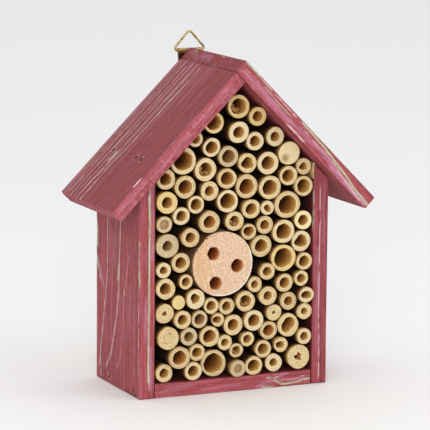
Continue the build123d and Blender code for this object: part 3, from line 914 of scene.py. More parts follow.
def make_sliver(finish):
    """A split of cane, curved across, with a torn end."""
    low, high = millimetres("wedged_sliver")
    thick, tall = high.x - low.x, high.z - low.z
    turn = whole_turn(28)
    rings = []
    zones = []
    for step, place in enumerate((0.0, 0.1, 0.4, 1.2, 3.0, 8.0, 18.0, 30.0, high.y - low.y)):
        inset = (0.5, 0.12, 0.03, 0, 0, 0, 0, 0, 0)[step]
        up = np.sin(turn) * (tall / 2 - inset)
        bow = 0.45 * thick * (np.sin(turn) ** 2 - 0.5)
        across = np.cos(turn) * (0.28 * thick - 0.3 * inset) * (0.6 + 0.4 * np.abs(np.cos(turn))) + bow
        torn = 0.9 * (1 + ripple(61, up * 0.9, across * 3)) * (1 - smooth(place, 0, 3.0))
        rings.append(np.stack([(low.x + high.x) / 2 + across, low.y + place + torn + 0 * up,
                               (low.z + high.z) / 2 + up], 1))
        zones.append(np.tile((1.0 if step < 3 else 0.35, 0, 0, 0.1), (len(turn), 1)))
    shape = Bundle().add(*skin_over(rings), np.concatenate(zones), (0, 0.3, 0.3, 0.4))
    return shape.make("wedged_sliver_split", finish, "wedged_sliver", "cane")


def make_fibres(finish):
    """Loose fibres that the saw has left on the rims of the canes and the log."""
    chance = np.random.default_rng(404)
    bundle = Bundle()
    nodes = sorted(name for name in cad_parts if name.startswith("canes_course"))
    rims = [part for name in nodes for part in loose_parts(name)] + LOG_SHARE * loose_parts("nesting_log")
    for part in rims:
        low, high = part.min(0), part.max(0)
        radius = (high[0] - low[0]) / 2
        for _ in range(chance.integers(0, 3)):
            angle = chance.uniform(0, 2 * math.pi)
            out = np.array((math.cos(angle), 0, math.sin(angle)))
            aside = np.array((-math.sin(angle), 0, math.cos(angle)))
            start = (low + high) / 2 * (1, 0, 1) + (0, low[1] + 0.9, 0)
            start = start + out * radius * chance.uniform(0.9, 0.97)
            reach = chance.uniform(0.5, 1.6)
            bend = chance.uniform(-1, 1)
            path = [start + aside * reach * share + np.array((0, -0.55, 0)) * math.sin(2.2 * share)
                    - out * 0.25 * share + out * 0.3 * bend * share ** 2 for share in np.linspace(0, 1, 6)]
            bundle.add(*swept(path, FIBRE_RADII, 5), (1, 0, 0.6, 0), (0, 0, 0.5, 0.5))
    return bundle.make("loose_fibres", finish, None, "cane")


# ---------------------------------------------------------------- log

LOG_SIDES = 128
HOLE_POINTS = 44
CHORD_WAY = math.radians(138)     # the log is flattened up here and keeps a little bark
CHORD_WIDTH = 0.31
FACE_STEP = 0.75                  # mesh spacing on the sawn face
SCRAPS = 16                       # of bark on the side, before the flecks on the face
FLECKS = 10

# Down the log's side and down its holes: how deep, how much wider than the rim and how far inside it looks,
# which darkens the holes' walls as painted shade.
LOG_STEPS = ((0.5, 1.005, 0), (1.5, 1.01, 0), (4.0, 1.01, 0), (12.0, 1.01, 0))
HOLE_STEPS = ((0.35, 1.0, 0.06), (0.9, 1.0, 0.12), (2.0, 1.0, 0.3), (4.5, 1.0, 0.5), (9.0, 1.0, 0.7),
              (18.0, 0.99, 1.0))


def log_outline(radius, turn):
    """The log's radius round its rim, and how far round from the middle of its flat side."""
    outline = radius * (0.985 - 0.012 * (1 + ripple(900, 4 + 2.2 * np.cos(turn), 4 + 2.2 * np.sin(turn))))
    off = np.abs((turn - CHORD_WAY + math.pi) % (2 * math.pi) - math.pi)
    flat = radius * math.cos(CHORD_WIDTH) / np.cos(np.minimum(off, 1.2))
    return np.minimum(outline, flat - 0.25 * (1 + ripple(901, 6 * turn, 0 * turn))), off


def torn_rim(bore, number):
    """The rim of a drilled hole, with fibres torn on its left."""
    across, up, size = bore
    ring = whole_turn(HOLE_POINTS)
    torn = 0.35 * ripple(910 + number, 5 * ring, 0 * ring) * smooth(-np.cos(ring), 0.0, 0.8)
    edge = size * (1.0 + 0.03 * np.cos(6 * ring + number)) - np.abs(torn)
    return np.stack([across + edge * np.cos(ring), up + edge * np.sin(ring)], 1)


def face_depth(across, up):
    """How far the log's sawn face lies behind its front."""
    rough = ripple(920, across * 1.7, up * 0.5) * 0.10 + ripple(921, across * 3.1, up * 2.7) * 0.10
    dish = 0.25 * (1 + ripple(922, across * 0.09, up * 0.09))
    return 0.2 + dish + rough


def sawn_face(points, middle, front, turn, outline):
    """The log's sawn face and its layers: white along the right of its rim, tan on its left."""
    away = np.hypot(points[:, 0] - middle[0], points[:, 1] - middle[2])
    angle = np.arctan2(points[:, 1] - middle[2], points[:, 0] - middle[0])
    to_rim = np.interp(angle % (2 * math.pi), turn, outline, period=2 * math.pi) - away
    white = (1 - smooth(to_rim, 0.2, 1.5)) * smooth(np.cos(angle + 0.7), -0.1, 0.6)
    tan = smooth(middle[0] - points[:, 0] + 4 * ripple(930, points[:, 0] * 0.2, points[:, 1] * 0.2), 0, 14)
    depth = front + face_depth(points[:, 0], points[:, 1]) + 0.25 * (1 - smooth(to_rim, 0, 0.3))
    return np.stack([points[:, 0], depth, points[:, 1]], 1), np.stack([1 + 0 * away, 0 * away, white, tan], 1)


def make_log(finish):
    """A round of branch wood: rough sawn face, three drilled holes, a scrap of bark."""
    part = loose_parts("nesting_log")[0]
    low, high = part.min(0), part.max(0)
    middle = (low + high) / 2
    radius, length = (high[0] - low[0]) / 2, high[1] - low[1]
    turn = whole_turn(LOG_SIDES)
    outline, off = log_outline(radius, turn)
    inner = part[part[:, 1] < low[1] + 0.05]
    inner = inner[np.hypot(inner[:, 0] - middle[0], inner[:, 2] - middle[2]) < 0.93 * radius]
    bores = drilled(inner)
    across, up, size = bores[0]
    bottom = part[np.hypot(part[:, 0] - across, part[:, 2] - up) < size + 0.1][:, 1].max() - low[1]

    rims = [np.stack([middle[0] + outline * np.cos(turn), middle[2] + outline * np.sin(turn)], 1)]
    rims += [torn_rim(bore, number) for number, bore in enumerate(bores)]
    centres = [np.array((middle[0], middle[2]))] + [np.array(bore[:2]) for bore in bores]
    points, faces, ring_index = triangulate(rims, centres, radius)

    face, colours = sawn_face(points, middle, low[1], turn, outline)
    everything, layers = [face], [colours]
    total = len(points)
    for number, (rim, centre, last) in enumerate(zip(rims, centres, ring_index)):
        steps = HOLE_STEPS + ((bottom, 0.99, 1.0),) if number else LOG_STEPS + ((length, 1.01, 0),)
        for place, swell, inside in steps:
            offset = (rim - centre) * swell
            reach = np.linalg.norm(offset, axis=1)
            if number:
                offset *= (1 + (bores[number - 1][2] / reach - 1) * smooth(place, 0, 3))[:, None]
            else:
                offset *= np.minimum(1, radius / reach)[:, None]
            here = centre + offset
            base = face_depth(rim[:, 0], rim[:, 1]) if place < 3 else 0
            back = low[1] + np.minimum(base + place, length) + 0 * reach
            everything.append(np.stack([here[:, 0], back, here[:, 1]], 1))
            bark = 0 * reach if number else smooth(CHORD_WIDTH + 0.2 - off, 0, 0.2)
            layers.append(np.stack([0 * reach, inside + 0 * reach, bark, 0.4 + 0 * reach], 1))
            new = list(range(total, total + len(rim)))
            total += len(rim)
            for side in range(len(rim)):
                after = (side + 1) % len(rim)
                faces.append([last[side], last[after], new[after], new[side]])
            last = new
        faces.append(list(last))
    bundle = Bundle()
    bundle.add(np.concatenate(everything), faces, np.concatenate(layers), (0, 0, 0, 0.5))
    add_bark(bundle, middle, low[1], outline, turn)
    return bundle.make("nesting_log_wood", finish, "nesting_log", "log_wood")


def drilled(vertices):
    """The middle and radius of each hole in a face, from the vertices on the holes' rims."""
    groups = []
    for vertex in vertices:
        near = [group for group in groups if min(np.linalg.norm(vertex - other) for other in group) < 3.0]
        joined = [vertex] + [other for group in near for other in group]
        groups = [group for group in groups if not any(group is other for other in near)] + [joined]
    bores = []
    for group in groups:
        group = np.array(group)
        middle = (group.min(0) + group.max(0)) / 2
        bores.append((middle[0], middle[2], (group[:, 0].max() - group[:, 0].min()) / 2))
    return sorted(bores)


def share_of(rim, centre, points):
    """How far points are from a centre, as a share of how far a rim is in their direction."""
    corners, away = rim - centre, points - centre
    angles = np.arctan2(corners[:, 1], corners[:, 0])
    reach = np.interp(np.arctan2(away[:, 1], away[:, 0]), angles, np.hypot(*corners.T), period=2 * math.pi)
    return np.hypot(*away.T) / reach


def triangulate(rims, centres, radius):
    """A fine flat mesh between an outline, the first rim, and the holes in it."""
    corners = np.concatenate(rims)
    starts = np.cumsum([0] + [len(rim) for rim in rims])
    edges = [(int(start) + side, int(start) + (side + 1) % len(rim))
             for start, rim in zip(starts, rims) for side in range(len(rim))]
    ticks = np.arange(-radius, radius, FACE_STEP)
    grid = np.stack(np.meshgrid(ticks, ticks), 2).reshape(-1, 2) + centres[0]
    grid += np.random.default_rng(77).uniform(-0.2, 0.2, grid.shape)
    kept = share_of(rims[0], centres[0], grid) < 0.98
    for rim, centre in zip(rims[1:], centres[1:]):
        kept &= share_of(rim, centre, grid) > 1.09
    corners = [Vector(corner) for corner in np.concatenate([corners, grid[kept]])]
    found = geometry.delaunay_2d_cdt(corners, edges, [], 0, 1e-6)
    points = np.array([tuple(point) for point in found[0]])
    home = {source: index for index, sources in enumerate(found[3]) for source in sources}
    faces = np.array([tuple(face) for face in found[2]])
    middles = points[faces].mean(1)
    solid = share_of(rims[0], centres[0], middles) < 1
    for rim, centre in zip(rims[1:], centres[1:]):
        solid &= share_of(rim, centre, middles) > 1
    rings = [[home[int(start) + side] for side in range(len(rim))] for start, rim in zip(starts, rims)]
    return points, [[int(corner) for corner in face] for face in faces[solid]], rings


def add_bark(bundle, middle, front, outline, turn):
    """Scraps of bark on the flattened side of the log, and flecks of it on the face."""
    chance = np.random.default_rng(88)
    ring = whole_turn(18)
    for number in range(SCRAPS + FLECKS):
        scrap = number < SCRAPS
        way = CHORD_WAY + chance.uniform(-CHORD_WIDTH, CHORD_WIDTH) * (1.0 if scrap else 1.3)
        reach = np.interp(way % (2 * math.pi), turn, outline, period=2 * math.pi)
        out = np.array((math.cos(way), 0, math.sin(way)))
        aside = np.array((-math.sin(way), 0, math.cos(way)))
        centre = np.array((middle[0], front, middle[2])) + out * (reach + 0.1)
        centre = centre + (0, chance.uniform(1.2, 9.0), 0)
        if scrap:
            long, wide = chance.uniform(1.0, 2.4), chance.uniform(0.5, 1.1)
        else:
            centre += out * chance.uniform(-1.3, -0.2)
            centre[1] = front + chance.uniform(0.45, 0.7)
            long, wide = 0.35, chance.uniform(0.3, 0.8)
        rings = []
        for place, share in ((-0.25, 0.7), (-0.1, 1.0), (0.2, 0.9), (0.35, 0.45)):
            rough = 1 + 0.3 * ripple(950 + number, 4 * ring, 0 * ring + place)
            spread = np.outer(np.cos(ring) * long * share * rough, (0, 1, 0))
            rings.append(centre + spread + np.outer(np.sin(ring) * wide * share * rough, aside) + out * place)
        bundle.add(*skin_over(rings), (0, 0, 1, 1), (0, 0, 0, chance.random()))


# ---------------------------------------------------------------- pins and hanger

PIN_SIDES = 20
WIRE_SIDES = 28
LEG_ANGLE = math.radians(47.7)    # between the bar and a leg of the ring
FOOT_BEND = 1.25                  # bend radii at the middle of the wire
APEX_BEND = 2.0
FOLD_PLAY = 0.08                  # between the wire and the fold of the plate
PLATE_TAPER = 0.8                 # how much narrower the plate's foot is, on each side
PLATE_CORNER = 2.0                # radius
SCREW_HOLE = 1.5                  # radius
SCREW_SHANK = 1.3                 # radius
THREAD_DEPTH = 0.3
THREAD_STEP = 0.3                 # a quarter of the thread's pitch
THREAD_STEPS = 46
SLOT_LENGTH = 2.8
SLOT_WIDTH = 0.8
SLOT_DEPTH = 0.8


def straight_pin(part):
    """The outer end, the inner end and the radius of a pin."""
    middle = part.mean(0)
    run = np.linalg.svd(part - middle, full_matrices=False)[2][0]
    along = (part - middle) @ run
    ends = [Vector(middle + run * place) for place in (along.min(), along.max())]
    ends.sort(key=lambda end: -(end - (cad_low + cad_high) / 2 / MM).length)
    radius = np.linalg.norm(part - middle - np.outer(along, run), axis=1).max()
    return ends[0], ends[1], float(radius)


def make_brads(node, finish):
    """Pins with a struck head and a cut point."""
    bundle = Bundle()
    for number, part in enumerate(loose_parts(node)):
        head, point, radius = straight_pin(part)
        axis = (point - head).normalized()
        side = axis.orthogonal().normalized()
        length = (point - head).length
        turn = whole_turn(PIN_SIDES)
        struck = 0.06 * (1 + ripple(700 + number, 2 + 1.5 * np.cos(turn), 2 + 1.5 * np.sin(turn)))
        steps = ((0.15, 0.1), (0.55, 0.08), (0.86, 0.05), (1.0, 0.16), (1.0, 0.5), (0.93, 0.9),
                 (0.93, length - 2.4), (0.8, length - 1.6), (0.12, length - 0.05))
        rings = [(share * radius + 0 * turn, place + struck * (place < 0.2)) for share, place in steps]
        bundle.add(*skin_over(turned(rings, head, side, axis.cross(side), axis)))
    return bundle.make(f"{node}_steel", finish, node, "brad_steel")


def brad_rounds(*nodes):
    """The holes of the pins of some nodes, open to the outside."""
    rounds = []
    for node in nodes:
        for part in loose_parts(node):
            head, point, radius = straight_pin(part)
            out = (head - point).normalized()
            rounds.append((head + 6 * out, point, radius))
    return rounds


def rounded(corners, bends, steps=14):
    """A closed outline with its corners bent to given radii."""
    path = []
    for index, (corner, bend) in enumerate(zip(corners, bends)):
        before = (corners[index - 1] - corner).normalized()
        after = (corners[(index + 1) % len(corners)] - corner).normalized()
        half = before.angle(after) / 2
        middle = corner + (before + after).normalized() * bend / math.sin(half)
        start = corner + before * bend / math.tan(half) - middle
        stop = corner + after * bend / math.tan(half) - middle
        for step in range(steps + 1):
            path.append(middle + bend * start.slerp(stop, step / steps).normalized())
    return path


def make_ring(finish):
    """The triangle of brass wire, bent round and closed."""
    low, high = millimetres("hanger_ring")
    radius = (high.y - low.y) / 2
    bar = low.z + radius
    straight = (high.x - low.x) / 2 - radius - FOOT_BEND
    foot = straight + FOOT_BEND / math.tan(LEG_ANGLE / 2)
    depth = (low.y + high.y) / 2
    corners = [Vector((foot, depth, bar)), Vector((0, depth, bar + foot * math.tan(LEG_ANGLE))),
               Vector((-foot, depth, bar))]
    bent = rounded(corners, (FOOT_BEND, APEX_BEND, FOOT_BEND))
    path = []
    for index, point in enumerate(bent):
        after = bent[(index + 1) % len(bent)]
        pieces = max(1, round((after - point).length / 0.5))
        path += [point.lerp(after, step / pieces) for step in range(pieces)]
    count = np.arange(len(path))
    radii = radius * (1 - 0.012 * (1 + ripple(800, count * 0.25, 0 * count)))
    wire = Bundle().add(*swept(path, radii, WIRE_SIDES, True))
    return wire.make("hanger_ring_wire", finish, "hanger_ring", "brass", "ring")


def plate_line(foot, front, bar, sheet, fold):
    """The plate's sheet seen from the side: up the front, round the ring's bar and down the back."""
    line = [(front + sheet / 2, z) for z in np.linspace(foot, bar - 0.2, 26)]
    bend = fold - sheet / 2
    line += [(front + fold - bend * math.cos(angle), bar + bend * math.sin(angle))
             for angle in np.radians(np.arange(0, 226, 9.0))]
    last = line[-1]
    back = front + 1.5 * sheet
    line += [(back + (last[0] - back) * (1 - share) ** 2, last[1] - 1.3 * share)
             for share in (0.25, 0.5, 0.75, 1.0)]
    line += [(back, z) for z in np.linspace(line[-1][1] - 0.4, foot, 20)]
    return np.array(line)


def make_plate(finish):
    """One sheet of brass, folded over the ring's bar and pressed flat on itself below it."""
    low, high = millimetres("hanger_plate")
    ring_low, ring_high = millimetres("hanger_ring")
    bar = ring_low.z + (ring_high.y - ring_low.y) / 2
    fold = high.z - bar
    sheet = fold - (ring_high.y - ring_low.y) / 2 - FOLD_PLAY
    half = high.x
    line = plate_line(low.z, low.y, bar, sheet, fold)
    run = np.gradient(line, axis=0)
    run /= np.linalg.norm(run, axis=1)[:, None]
    out = np.stack([-run[:, 1], run[:, 0]], 1)
    taper = PLATE_TAPER * np.clip((bar - line[:, 1]) / (bar - low.z), 0, 1)
    from_foot = np.clip(line[:, 1] - low.z, 0, PLATE_CORNER)
    width = half - taper - PLATE_CORNER + np.sqrt(PLATE_CORNER ** 2 - (PLATE_CORNER - from_foot) ** 2)
    inside = [(share, 1.0) for share in np.linspace(-0.96, 0.96, 21)]
    rings = []
    for share, thin in [(-1, 0.55), (-0.985, 0.95)] + inside + [(0.985, 0.95), (1, 0.55)]:
        dent = 0.02 * ripple(810, line[:, 1] * 0.5, share * 3 + 0 * line[:, 1])
        outer = line + out * (sheet / 2 * thin + dent)[:, None]
        inner = line - out * (sheet / 2 * thin - dent)[:, None]
        loop = np.concatenate([outer, inner[::-1]])
        across = np.concatenate([width, width[::-1]]) * share
        rings.append(np.stack([across, loop[:, 0], loop[:, 1]], 1))
    points, faces = skin_over(rings)
    faces = faces[:-2]
    count = len(line)
    for start, turned_back in ((0, True), ((len(rings) - 1) * 2 * count, False)):
        for step in range(count - 1):
            across = start + 2 * count - 1 - step
            quad = [start + step, start + step + 1, across - 1, across]
            faces.append(quad[::-1] if turned_back else quad)
    # Painted shade: the front of the plate below the fold is darkened nearly to black.
    painted_plate_shade = smooth(bar - points[:, 2], 0.4, 2.0) * smooth(low.y + 1.5 * sheet - points[:, 1], 0.0, sheet)
    plate = Bundle().add(points, faces, np.outer(painted_plate_shade, (0, 0, 0, 1)))
    piece = plate.make("hanger_plate_sheet", finish, "hanger_plate", "brass")
    screw_low, screw_high = millimetres("hanger_screw")
    height = (screw_low.z + screw_high.z) / 2
    cut_holes(piece, [(Vector((0, low.y - 2, height)), Vector((0, low.y + 4, height)), SCREW_HOLE)])
    return piece


def make_screw(finish):
    """A pan-head wood screw with a cross slot and a thread."""
    low, high = millimetres("hanger_screw")
    height = (low.z + high.z) / 2
    head = (high.x - low.x) / 2
    seat = millimetres("hanger_plate")[0].y + 1.0
    rise = high.y - seat
    turn = whole_turn(40)
    rings = [(share * head + 0 * turn, rise - drop + 0 * turn) for share, drop in
             ((0.1, 0.0), (0.45, 0.02), (0.7, 0.1), (0.85, 0.25), (0.95, 0.48), (1.0, 0.8), (1.0, 1.1),
              (1.0, rise - 0.12), (0.96, rise))]
    rings.append((SCREW_SHANK + 0 * turn, 0 * turn))
    for step in range(THREAD_STEPS):
        groove = THREAD_DEPTH * (0.5 - 0.5 * np.cos(turn + step * math.pi / 2))
        pointed = 0.02 * max(0, step - THREAD_STEPS + 12)
        rings.append((SCREW_SHANK - groove - pointed, -1.0 - step * THREAD_STEP + 0 * turn))
    rings.append((0.1 + 0 * turn, low.y - seat + 0.1 + 0 * turn))
    screw = Bundle().add(*skin_over(turned(rings, (0, seat, height))))
    piece = screw.make("hanger_screw_steel", finish, "hanger_screw", "screw_steel")
    for wide, tall in ((SLOT_LENGTH, SLOT_WIDTH), (SLOT_WIDTH, SLOT_LENGTH)):
        size = Matrix.Diagonal(MM * Vector((wide, 2 * SLOT_DEPTH, tall))).to_4x4()
        place = Matrix.Translation(MM * Vector((0, high.y, height)))
        work = bmesh.new()
        bmesh.ops.create_cube(work, size=1, matrix=place @ size)
        cut_away(piece, work)
    return piece


# ---------------------------------------------------------------- finishes


def finish_paint():
    """Dark red woodstain on softwood, worn: pale and greenish where it has gone, lilac where it is thin, with
    painted shade on some faces.
    """
    look = Finish("painted_softwood", IOR=1.45)
    pale, green, lilac = look.channels("wear")
    dark = look.attribute("wear", "Alpha")
    grain = look.attribute("grain", "Vector")
    streak = look.speckle(grain, (0.012, 0.55, 0.55), 4.0, 0.6, 0.3)
    fine = look.speckle(grain, (0.05, 2.6, 2.6), 4.0, 0.65)
    fibre = look.speckle(grain, (0.3, 9.0, 9.0), 2.0, 0.5)
    blotch = look.speckle(grain, (0.05, 0.09, 0.09), 3.0, 0.6)
    flake = look.speckle(grain, (0.45, 1.6, 1.6), 3.0, 0.7)
    saw = look.speckle(grain, (1.7, 0.25, 0.25), 2.0, 0.5) * look.attribute("sawn", "Fac")
    coat = look.tone(streak, (0.3, 116, 30, 34), (0.5, 148, 52, 57), (0.7, 177, 78, 87))
    coat = look.coats(coat, (look.step(fine, 0.48, 0.72) * 0.6, (194, 108, 118)),
                            (look.step(fine, 0.48, 0.3) * 0.7, (92, 26, 32)),
                            (look.step(fibre, 0.5, 0.72) * 0.5, (208, 136, 141)),
                            (look.step(fibre, 0.45, 0.3) * 0.5, (92, 32, 38)),
                            (look.step(blotch, 0.48, 0.74) * 0.3, (166, 96, 116)),
                            (look.step(saw, 0.47, 0.66) * 0.45, (204, 126, 142)),
                            (lilac * look.step(fine, 0.3, 0.58) * 0.62, (196, 140, 168)))
    # Painted shade: a darker copy of the coat, laid over the faces that the darkening layer marks.
    shaded_coat = look.mix(1.0, coat, paint(150, 84, 74), "MULTIPLY")
    coat = look.mix(look.attribute("stain", "Fac") * 0.3, coat, shaded_coat)
    bare = pale * look.step(flake, 0.16, 0.46) * (0.7 + 0.6 * fine)
    coat = look.mix(bare, coat, look.mix(fibre, paint(236, 214, 220), paint(206, 166, 176)))
    mossy = green * look.step(flake, 0.22, 0.48)
    coat = look.mix(mossy * 0.9, coat, look.mix(fibre, paint(196, 216, 172), paint(158, 182, 146)))
    coat = look.coats(coat, (look.step(dark + flake * 0.6, 0.7, 1.1), (72, 34, 36)))
    look.join(coat, "Base Color")
    look.join(0.62 + 0.2 * fine - 0.1 * bare, "Roughness")
    look.relief(fine * 0.5 + fibre * 0.35 + streak * 0.6 + bare * 0.3 + saw * 0.5 - 0.4 * dark, 0.0003, 0.8)
    return look.material


def finish_ply():
    """Thin bare plywood, darkened with age."""
    look = Finish("aged_plywood", IOR=1.45)
    grain = look.attribute("grain", "Vector")
    streak = look.speckle(grain, (0.01, 0.35, 0.35), 4.0, 0.6, 0.6)
    pore = look.speckle(grain, (0.25, 6.0, 6.0), 2.0, 0.6)
    stain = look.speckle(grain, (0.02, 0.03, 0.03), 3.0, 0.6)
    colour = look.tone(streak, (0.25, 150, 112, 74), (0.5, 184, 146, 104), (0.75, 206, 172, 130))
    colour = look.coats(colour, (look.step(pore, 0.55, 0.7) * 0.5, (104, 72, 44)),
                                (look.step(stain, 0.45, 0.7) * 0.35, (122, 92, 66)))
    look.join(colour, "Base Color")
    look.join(0.68 + 0.15 * pore, "Roughness")
    look.relief(pore * 0.5 + streak, 0.0002, 0.6)
    return look.material


def finish_bamboo():
    """Dried cane: golden skin, straw-coloured sawn face with dark pores, ochre bore; painted shade darkens
    the bore deeper in and the skin back in the gaps.
    """
    look = Finish("dried_bamboo", IOR=1.48)
    sawn, deep, lip = look.channels("zone")
    dirt_and_shade = look.attribute("zone", "Alpha")
    grey, yellow, light = look.channels("tint")
    chance = look.attribute("tint", "Alpha")
    place = look.attribute("place", "Vector")
    along = look.speckle(place, (1.6, 0.06, 1.6), 3.0, 0.6)
    thread = look.speckle(place, (6.0, 0.15, 6.0), 2.0, 0.6)
    mottle = look.speckle(place, 0.35, 4.0, 0.6)
    grit = look.speckle(place, 3.2, 3.0, 0.65)
    pores = look.node("ShaderNodeTexVoronoi", {"feature": "F1"},
                      {"Vector": look.stretched(place, (1, 0.15, 1)), "Scale": 1.9, "Randomness": 0.9})
    skin = look.tone(along, (0.25, 128, 92, 44), (0.5, 182, 140, 74), (0.78, 216, 180, 112))
    skin = look.coats(skin, (look.step(mottle, 0.45, 0.72) * 0.6, (92, 58, 32)))
    hairs = look.speckle(place, 7.0, 2.0, 0.6)
    face = look.tone(grit, (0.36, 140, 110, 66), (0.49, 208, 186, 134), (0.6, 248, 234, 194))
    face = look.coats(face, (look.step(hairs, 0.54, 0.68) * 0.6, (118, 82, 46)),
                            (look.step(mottle + 0.25 * chance, 0.42, 0.8) * 0.35, (192, 152, 84)),
                            (look.step(chance, 0.5, 1.0) * 0.45, (240, 222, 176)),
                            (look.step(chance, 0.45, 0.0) * 0.35, (170, 138, 92)),
                            (look.step(pores, 0.22, 0.08) * 0.6, (138, 96, 48)),
                            (lip * 0.4, (236, 220, 176)),
                            (yellow * 0.4, (226, 194, 112)),
                            (light * 0.7, (240, 224, 172)),
                            (grey * (0.3 + 0.4 * mottle), (178, 162, 132)),
                            (look.step(chance, 0.6, 0.85) * 0.5, (206, 190, 158)))
    # Painted shade: the bore darkens from pale ochre at the mouth to dark brown deep in.
    bore = look.tone(deep + 0.3 * (thread - 0.5), (0.1, 232, 198, 132), (0.3, 212, 162, 84),
                                                   (0.6, 178, 120, 44), (1.0, 128, 80, 28))
    bore = look.coats(bore, (look.step(chance, 0.3, 0.0) * 0.35, (196, 106, 40)),
                            (look.step(mottle, 0.45, 0.7) * 0.35, (150, 90, 36)),
                            (grey * 0.4, (160, 140, 106)))
    colour = look.mix(look.step(deep, 0.02, 0.12), look.mix(look.step(sawn, 0.1, 0.6), skin, face), bore)
    # Darker tone, near black: real grime on the cane, and painted shade where the skin runs back into the
    # gaps.
    aged = look.tone(dirt_and_shade, (0.3, 168, 112, 60), (0.6, 112, 66, 34), (1.0, 24, 16, 10))
    colour = look.mix(look.step(dirt_and_shade + 0.3 * (grit - 0.5), 0.12, 0.7) * 0.95, colour, aged)
    look.join(colour, "Base Color")
    look.join(0.42 + 0.35 * look.step(sawn + deep, 0.1, 0.6) + 0.15 * grit, "Roughness")
    look.relief(thread * 0.5 + grit * 0.6 - 0.5 * look.step(pores, 0.2, 0.08), 0.0002, 0.7)
    return look.material


def finish_log():
    """A sawn round of branch wood: pinkish cream, speckled orange and grey, with brown bark."""
    look = Finish("sawn_branch", IOR=1.45)
    sawn, deep, rim = look.channels("zone")
    tan = look.attribute("zone", "Alpha")
    place = look.attribute("place", "Vector")
    saw = look.speckle(place, (1.5, 1.5, 0.22), 3.0, 0.6, 0.2)
    speck = look.speckle(place, 1.5, 4.0, 0.7)
    grit = look.speckle(place, 3.4, 3.0, 0.75)
    patch = look.speckle(place, 0.22, 3.0, 0.55)
    face = look.tone(speck, (0.34, 180, 136, 102), (0.5, 216, 184, 152), (0.64, 240, 220, 196))
    face = look.coats(face, (look.step(grit, 0.52, 0.64) * 0.8, (190, 124, 76)),
                            (look.step(grit, 0.44, 0.34) * 0.6, (252, 240, 224)),
                            (look.step(speck, 0.44, 0.34) * 0.5, (158, 128, 104)),
                            (look.step(saw, 0.5, 0.66) * (0.2 + 0.45 * tan), (186, 136, 88)),
                            (look.step(tan + 0.8 * (patch - 0.5), 0.3, 0.9) * 0.4, (208, 164, 116)),
                            (look.step(rim + 0.5 * (grit - 0.5), 0.35, 0.8) * 0.8, (250, 244, 230)))
    side = look.tone(saw, (0.3, 84, 62, 38), (0.55, 136, 102, 64), (0.75, 172, 134, 90))
    bark = look.tone(speck, (0.35, 48, 32, 20), (0.5, 112, 70, 42), (0.65, 156, 108, 66))
    side = look.mix(look.step(rim, 0.3, 0.8), side, bark)
    # Painted shade: the holes darken from pale orange at the mouth to brown deep in.
    bore = look.tone(deep + 0.3 * (saw - 0.5), (0.08, 238, 186, 128), (0.34, 216, 142, 78),
                                                (0.6, 176, 98, 40), (1.0, 140, 74, 28))
    side = look.mix(look.step(deep, 0.02, 0.08), side, bore)
    look.join(look.mix(look.step(sawn, 0.3, 0.9), side, face), "Base Color")
    look.join(0.7 + 0.2 * grit, "Roughness")
    look.relief(speck * 0.6 + grit * 0.5 + saw * 0.5, 0.0003, 0.8)
    return look.material


def finish_brass():
    """Drawn brass, handled and a little dull, with painted shade on the plate's front below its fold."""
    look = Finish("drawn_brass", Metallic=1.0)
    place = look.attribute("place", "Vector")
    cloud = look.speckle(place, 0.5, 4.0, 0.6)
    scratch = look.speckle(place, (1.0, 7.0, 7.0), 3.0, 0.6)
    colour = look.tone(cloud, (0.3, 132, 114, 70), (0.5, 184, 162, 106), (0.72, 222, 206, 152))
    colour = look.coats(colour, (look.step(scratch, 0.55, 0.75) * 0.4, (96, 80, 44)))
    # Painted shade on the plate's front below its fold.
    painted_plate_shade = look.attribute("zone", "Alpha")
    colour = look.coats(colour, (painted_plate_shade * (0.75 + 0.3 * cloud), (52, 48, 32)))
    look.join(colour, "Base Color")
    look.join(0.2 + 0.25 * cloud, "Roughness")
    look.relief(scratch, 0.00005, 0.5)
    return look.material


def finish_steel(name, dark, middle, bright):
    """Bare steel, a little tarnished."""
    look = Finish(name, Metallic=1.0)
    place = look.attribute("place", "Vector")
    cloud = look.speckle(place, 0.9, 4.0, 0.65)
    scratch = look.speckle(place, 5.0, 3.0, 0.6)
    colour = look.tone(cloud, (0.3, *dark), (0.52, *middle), (0.72, *bright))
    look.join(colour, "Base Color")
    look.join(0.28 + 0.3 * cloud, "Roughness")
    look.relief(scratch, 0.00005, 0.5)
    return look.material


def finish_floor():
    """Pale paper."""
    look = Finish("pale_paper", IOR=1.4)
    place = look.node("ShaderNodeTexCoord", {}, {}, "Object")
    cloud = look.speckle(place, 3.0, 2.0)
    look.join(look.mix(cloud, paint(246, 246, 246), paint(250, 250, 250)), "Base Color")
    look.join(0.8 + 0.1 * cloud, "Roughness")
    return look.material


# ---------------------------------------------------------------- the hotel

timber = finish_paint()
make_board(left_roof_board(), timber, holes=brad_rounds("roof_brads_left"))
make_board(right_roof_board(), timber, holes=brad_rounds("roof_brads_right", "ridge_brads"))
make_board(left_wall(), timber, holes=brad_rounds("floor_brads_left"))
make_board(right_wall(), timber, holes=brad_rounds("floor_brads_right"))
make_board(floor_board(), timber)
make_board(back_panel(), finish_ply())

bamboo = finish_bamboo()
for number, name in enumerate(sorted(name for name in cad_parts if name.startswith("canes_course"))):
    make_canes(name, bamboo, FIRST_SEED + COURSE_SEEDS * number)
make_sliver(bamboo)
make_fibres(bamboo)
make_log(finish_log())

brad_steel = finish_steel("brad_steel", (64, 58, 54), (104, 98, 94), (150, 146, 142))
for name in ("roof_brads_left", "roof_brads_right", "ridge_brads", "floor_brads_left", "floor_brads_right"):
    make_brads(name, brad_steel)
brass = finish_brass()
make_ring(brass)
make_plate(brass)
make_screw(finish_steel("zinc_steel", (138, 138, 136), (176, 176, 172), (206, 206, 202)))


# ---------------------------------------------------------------- floor, light and camera

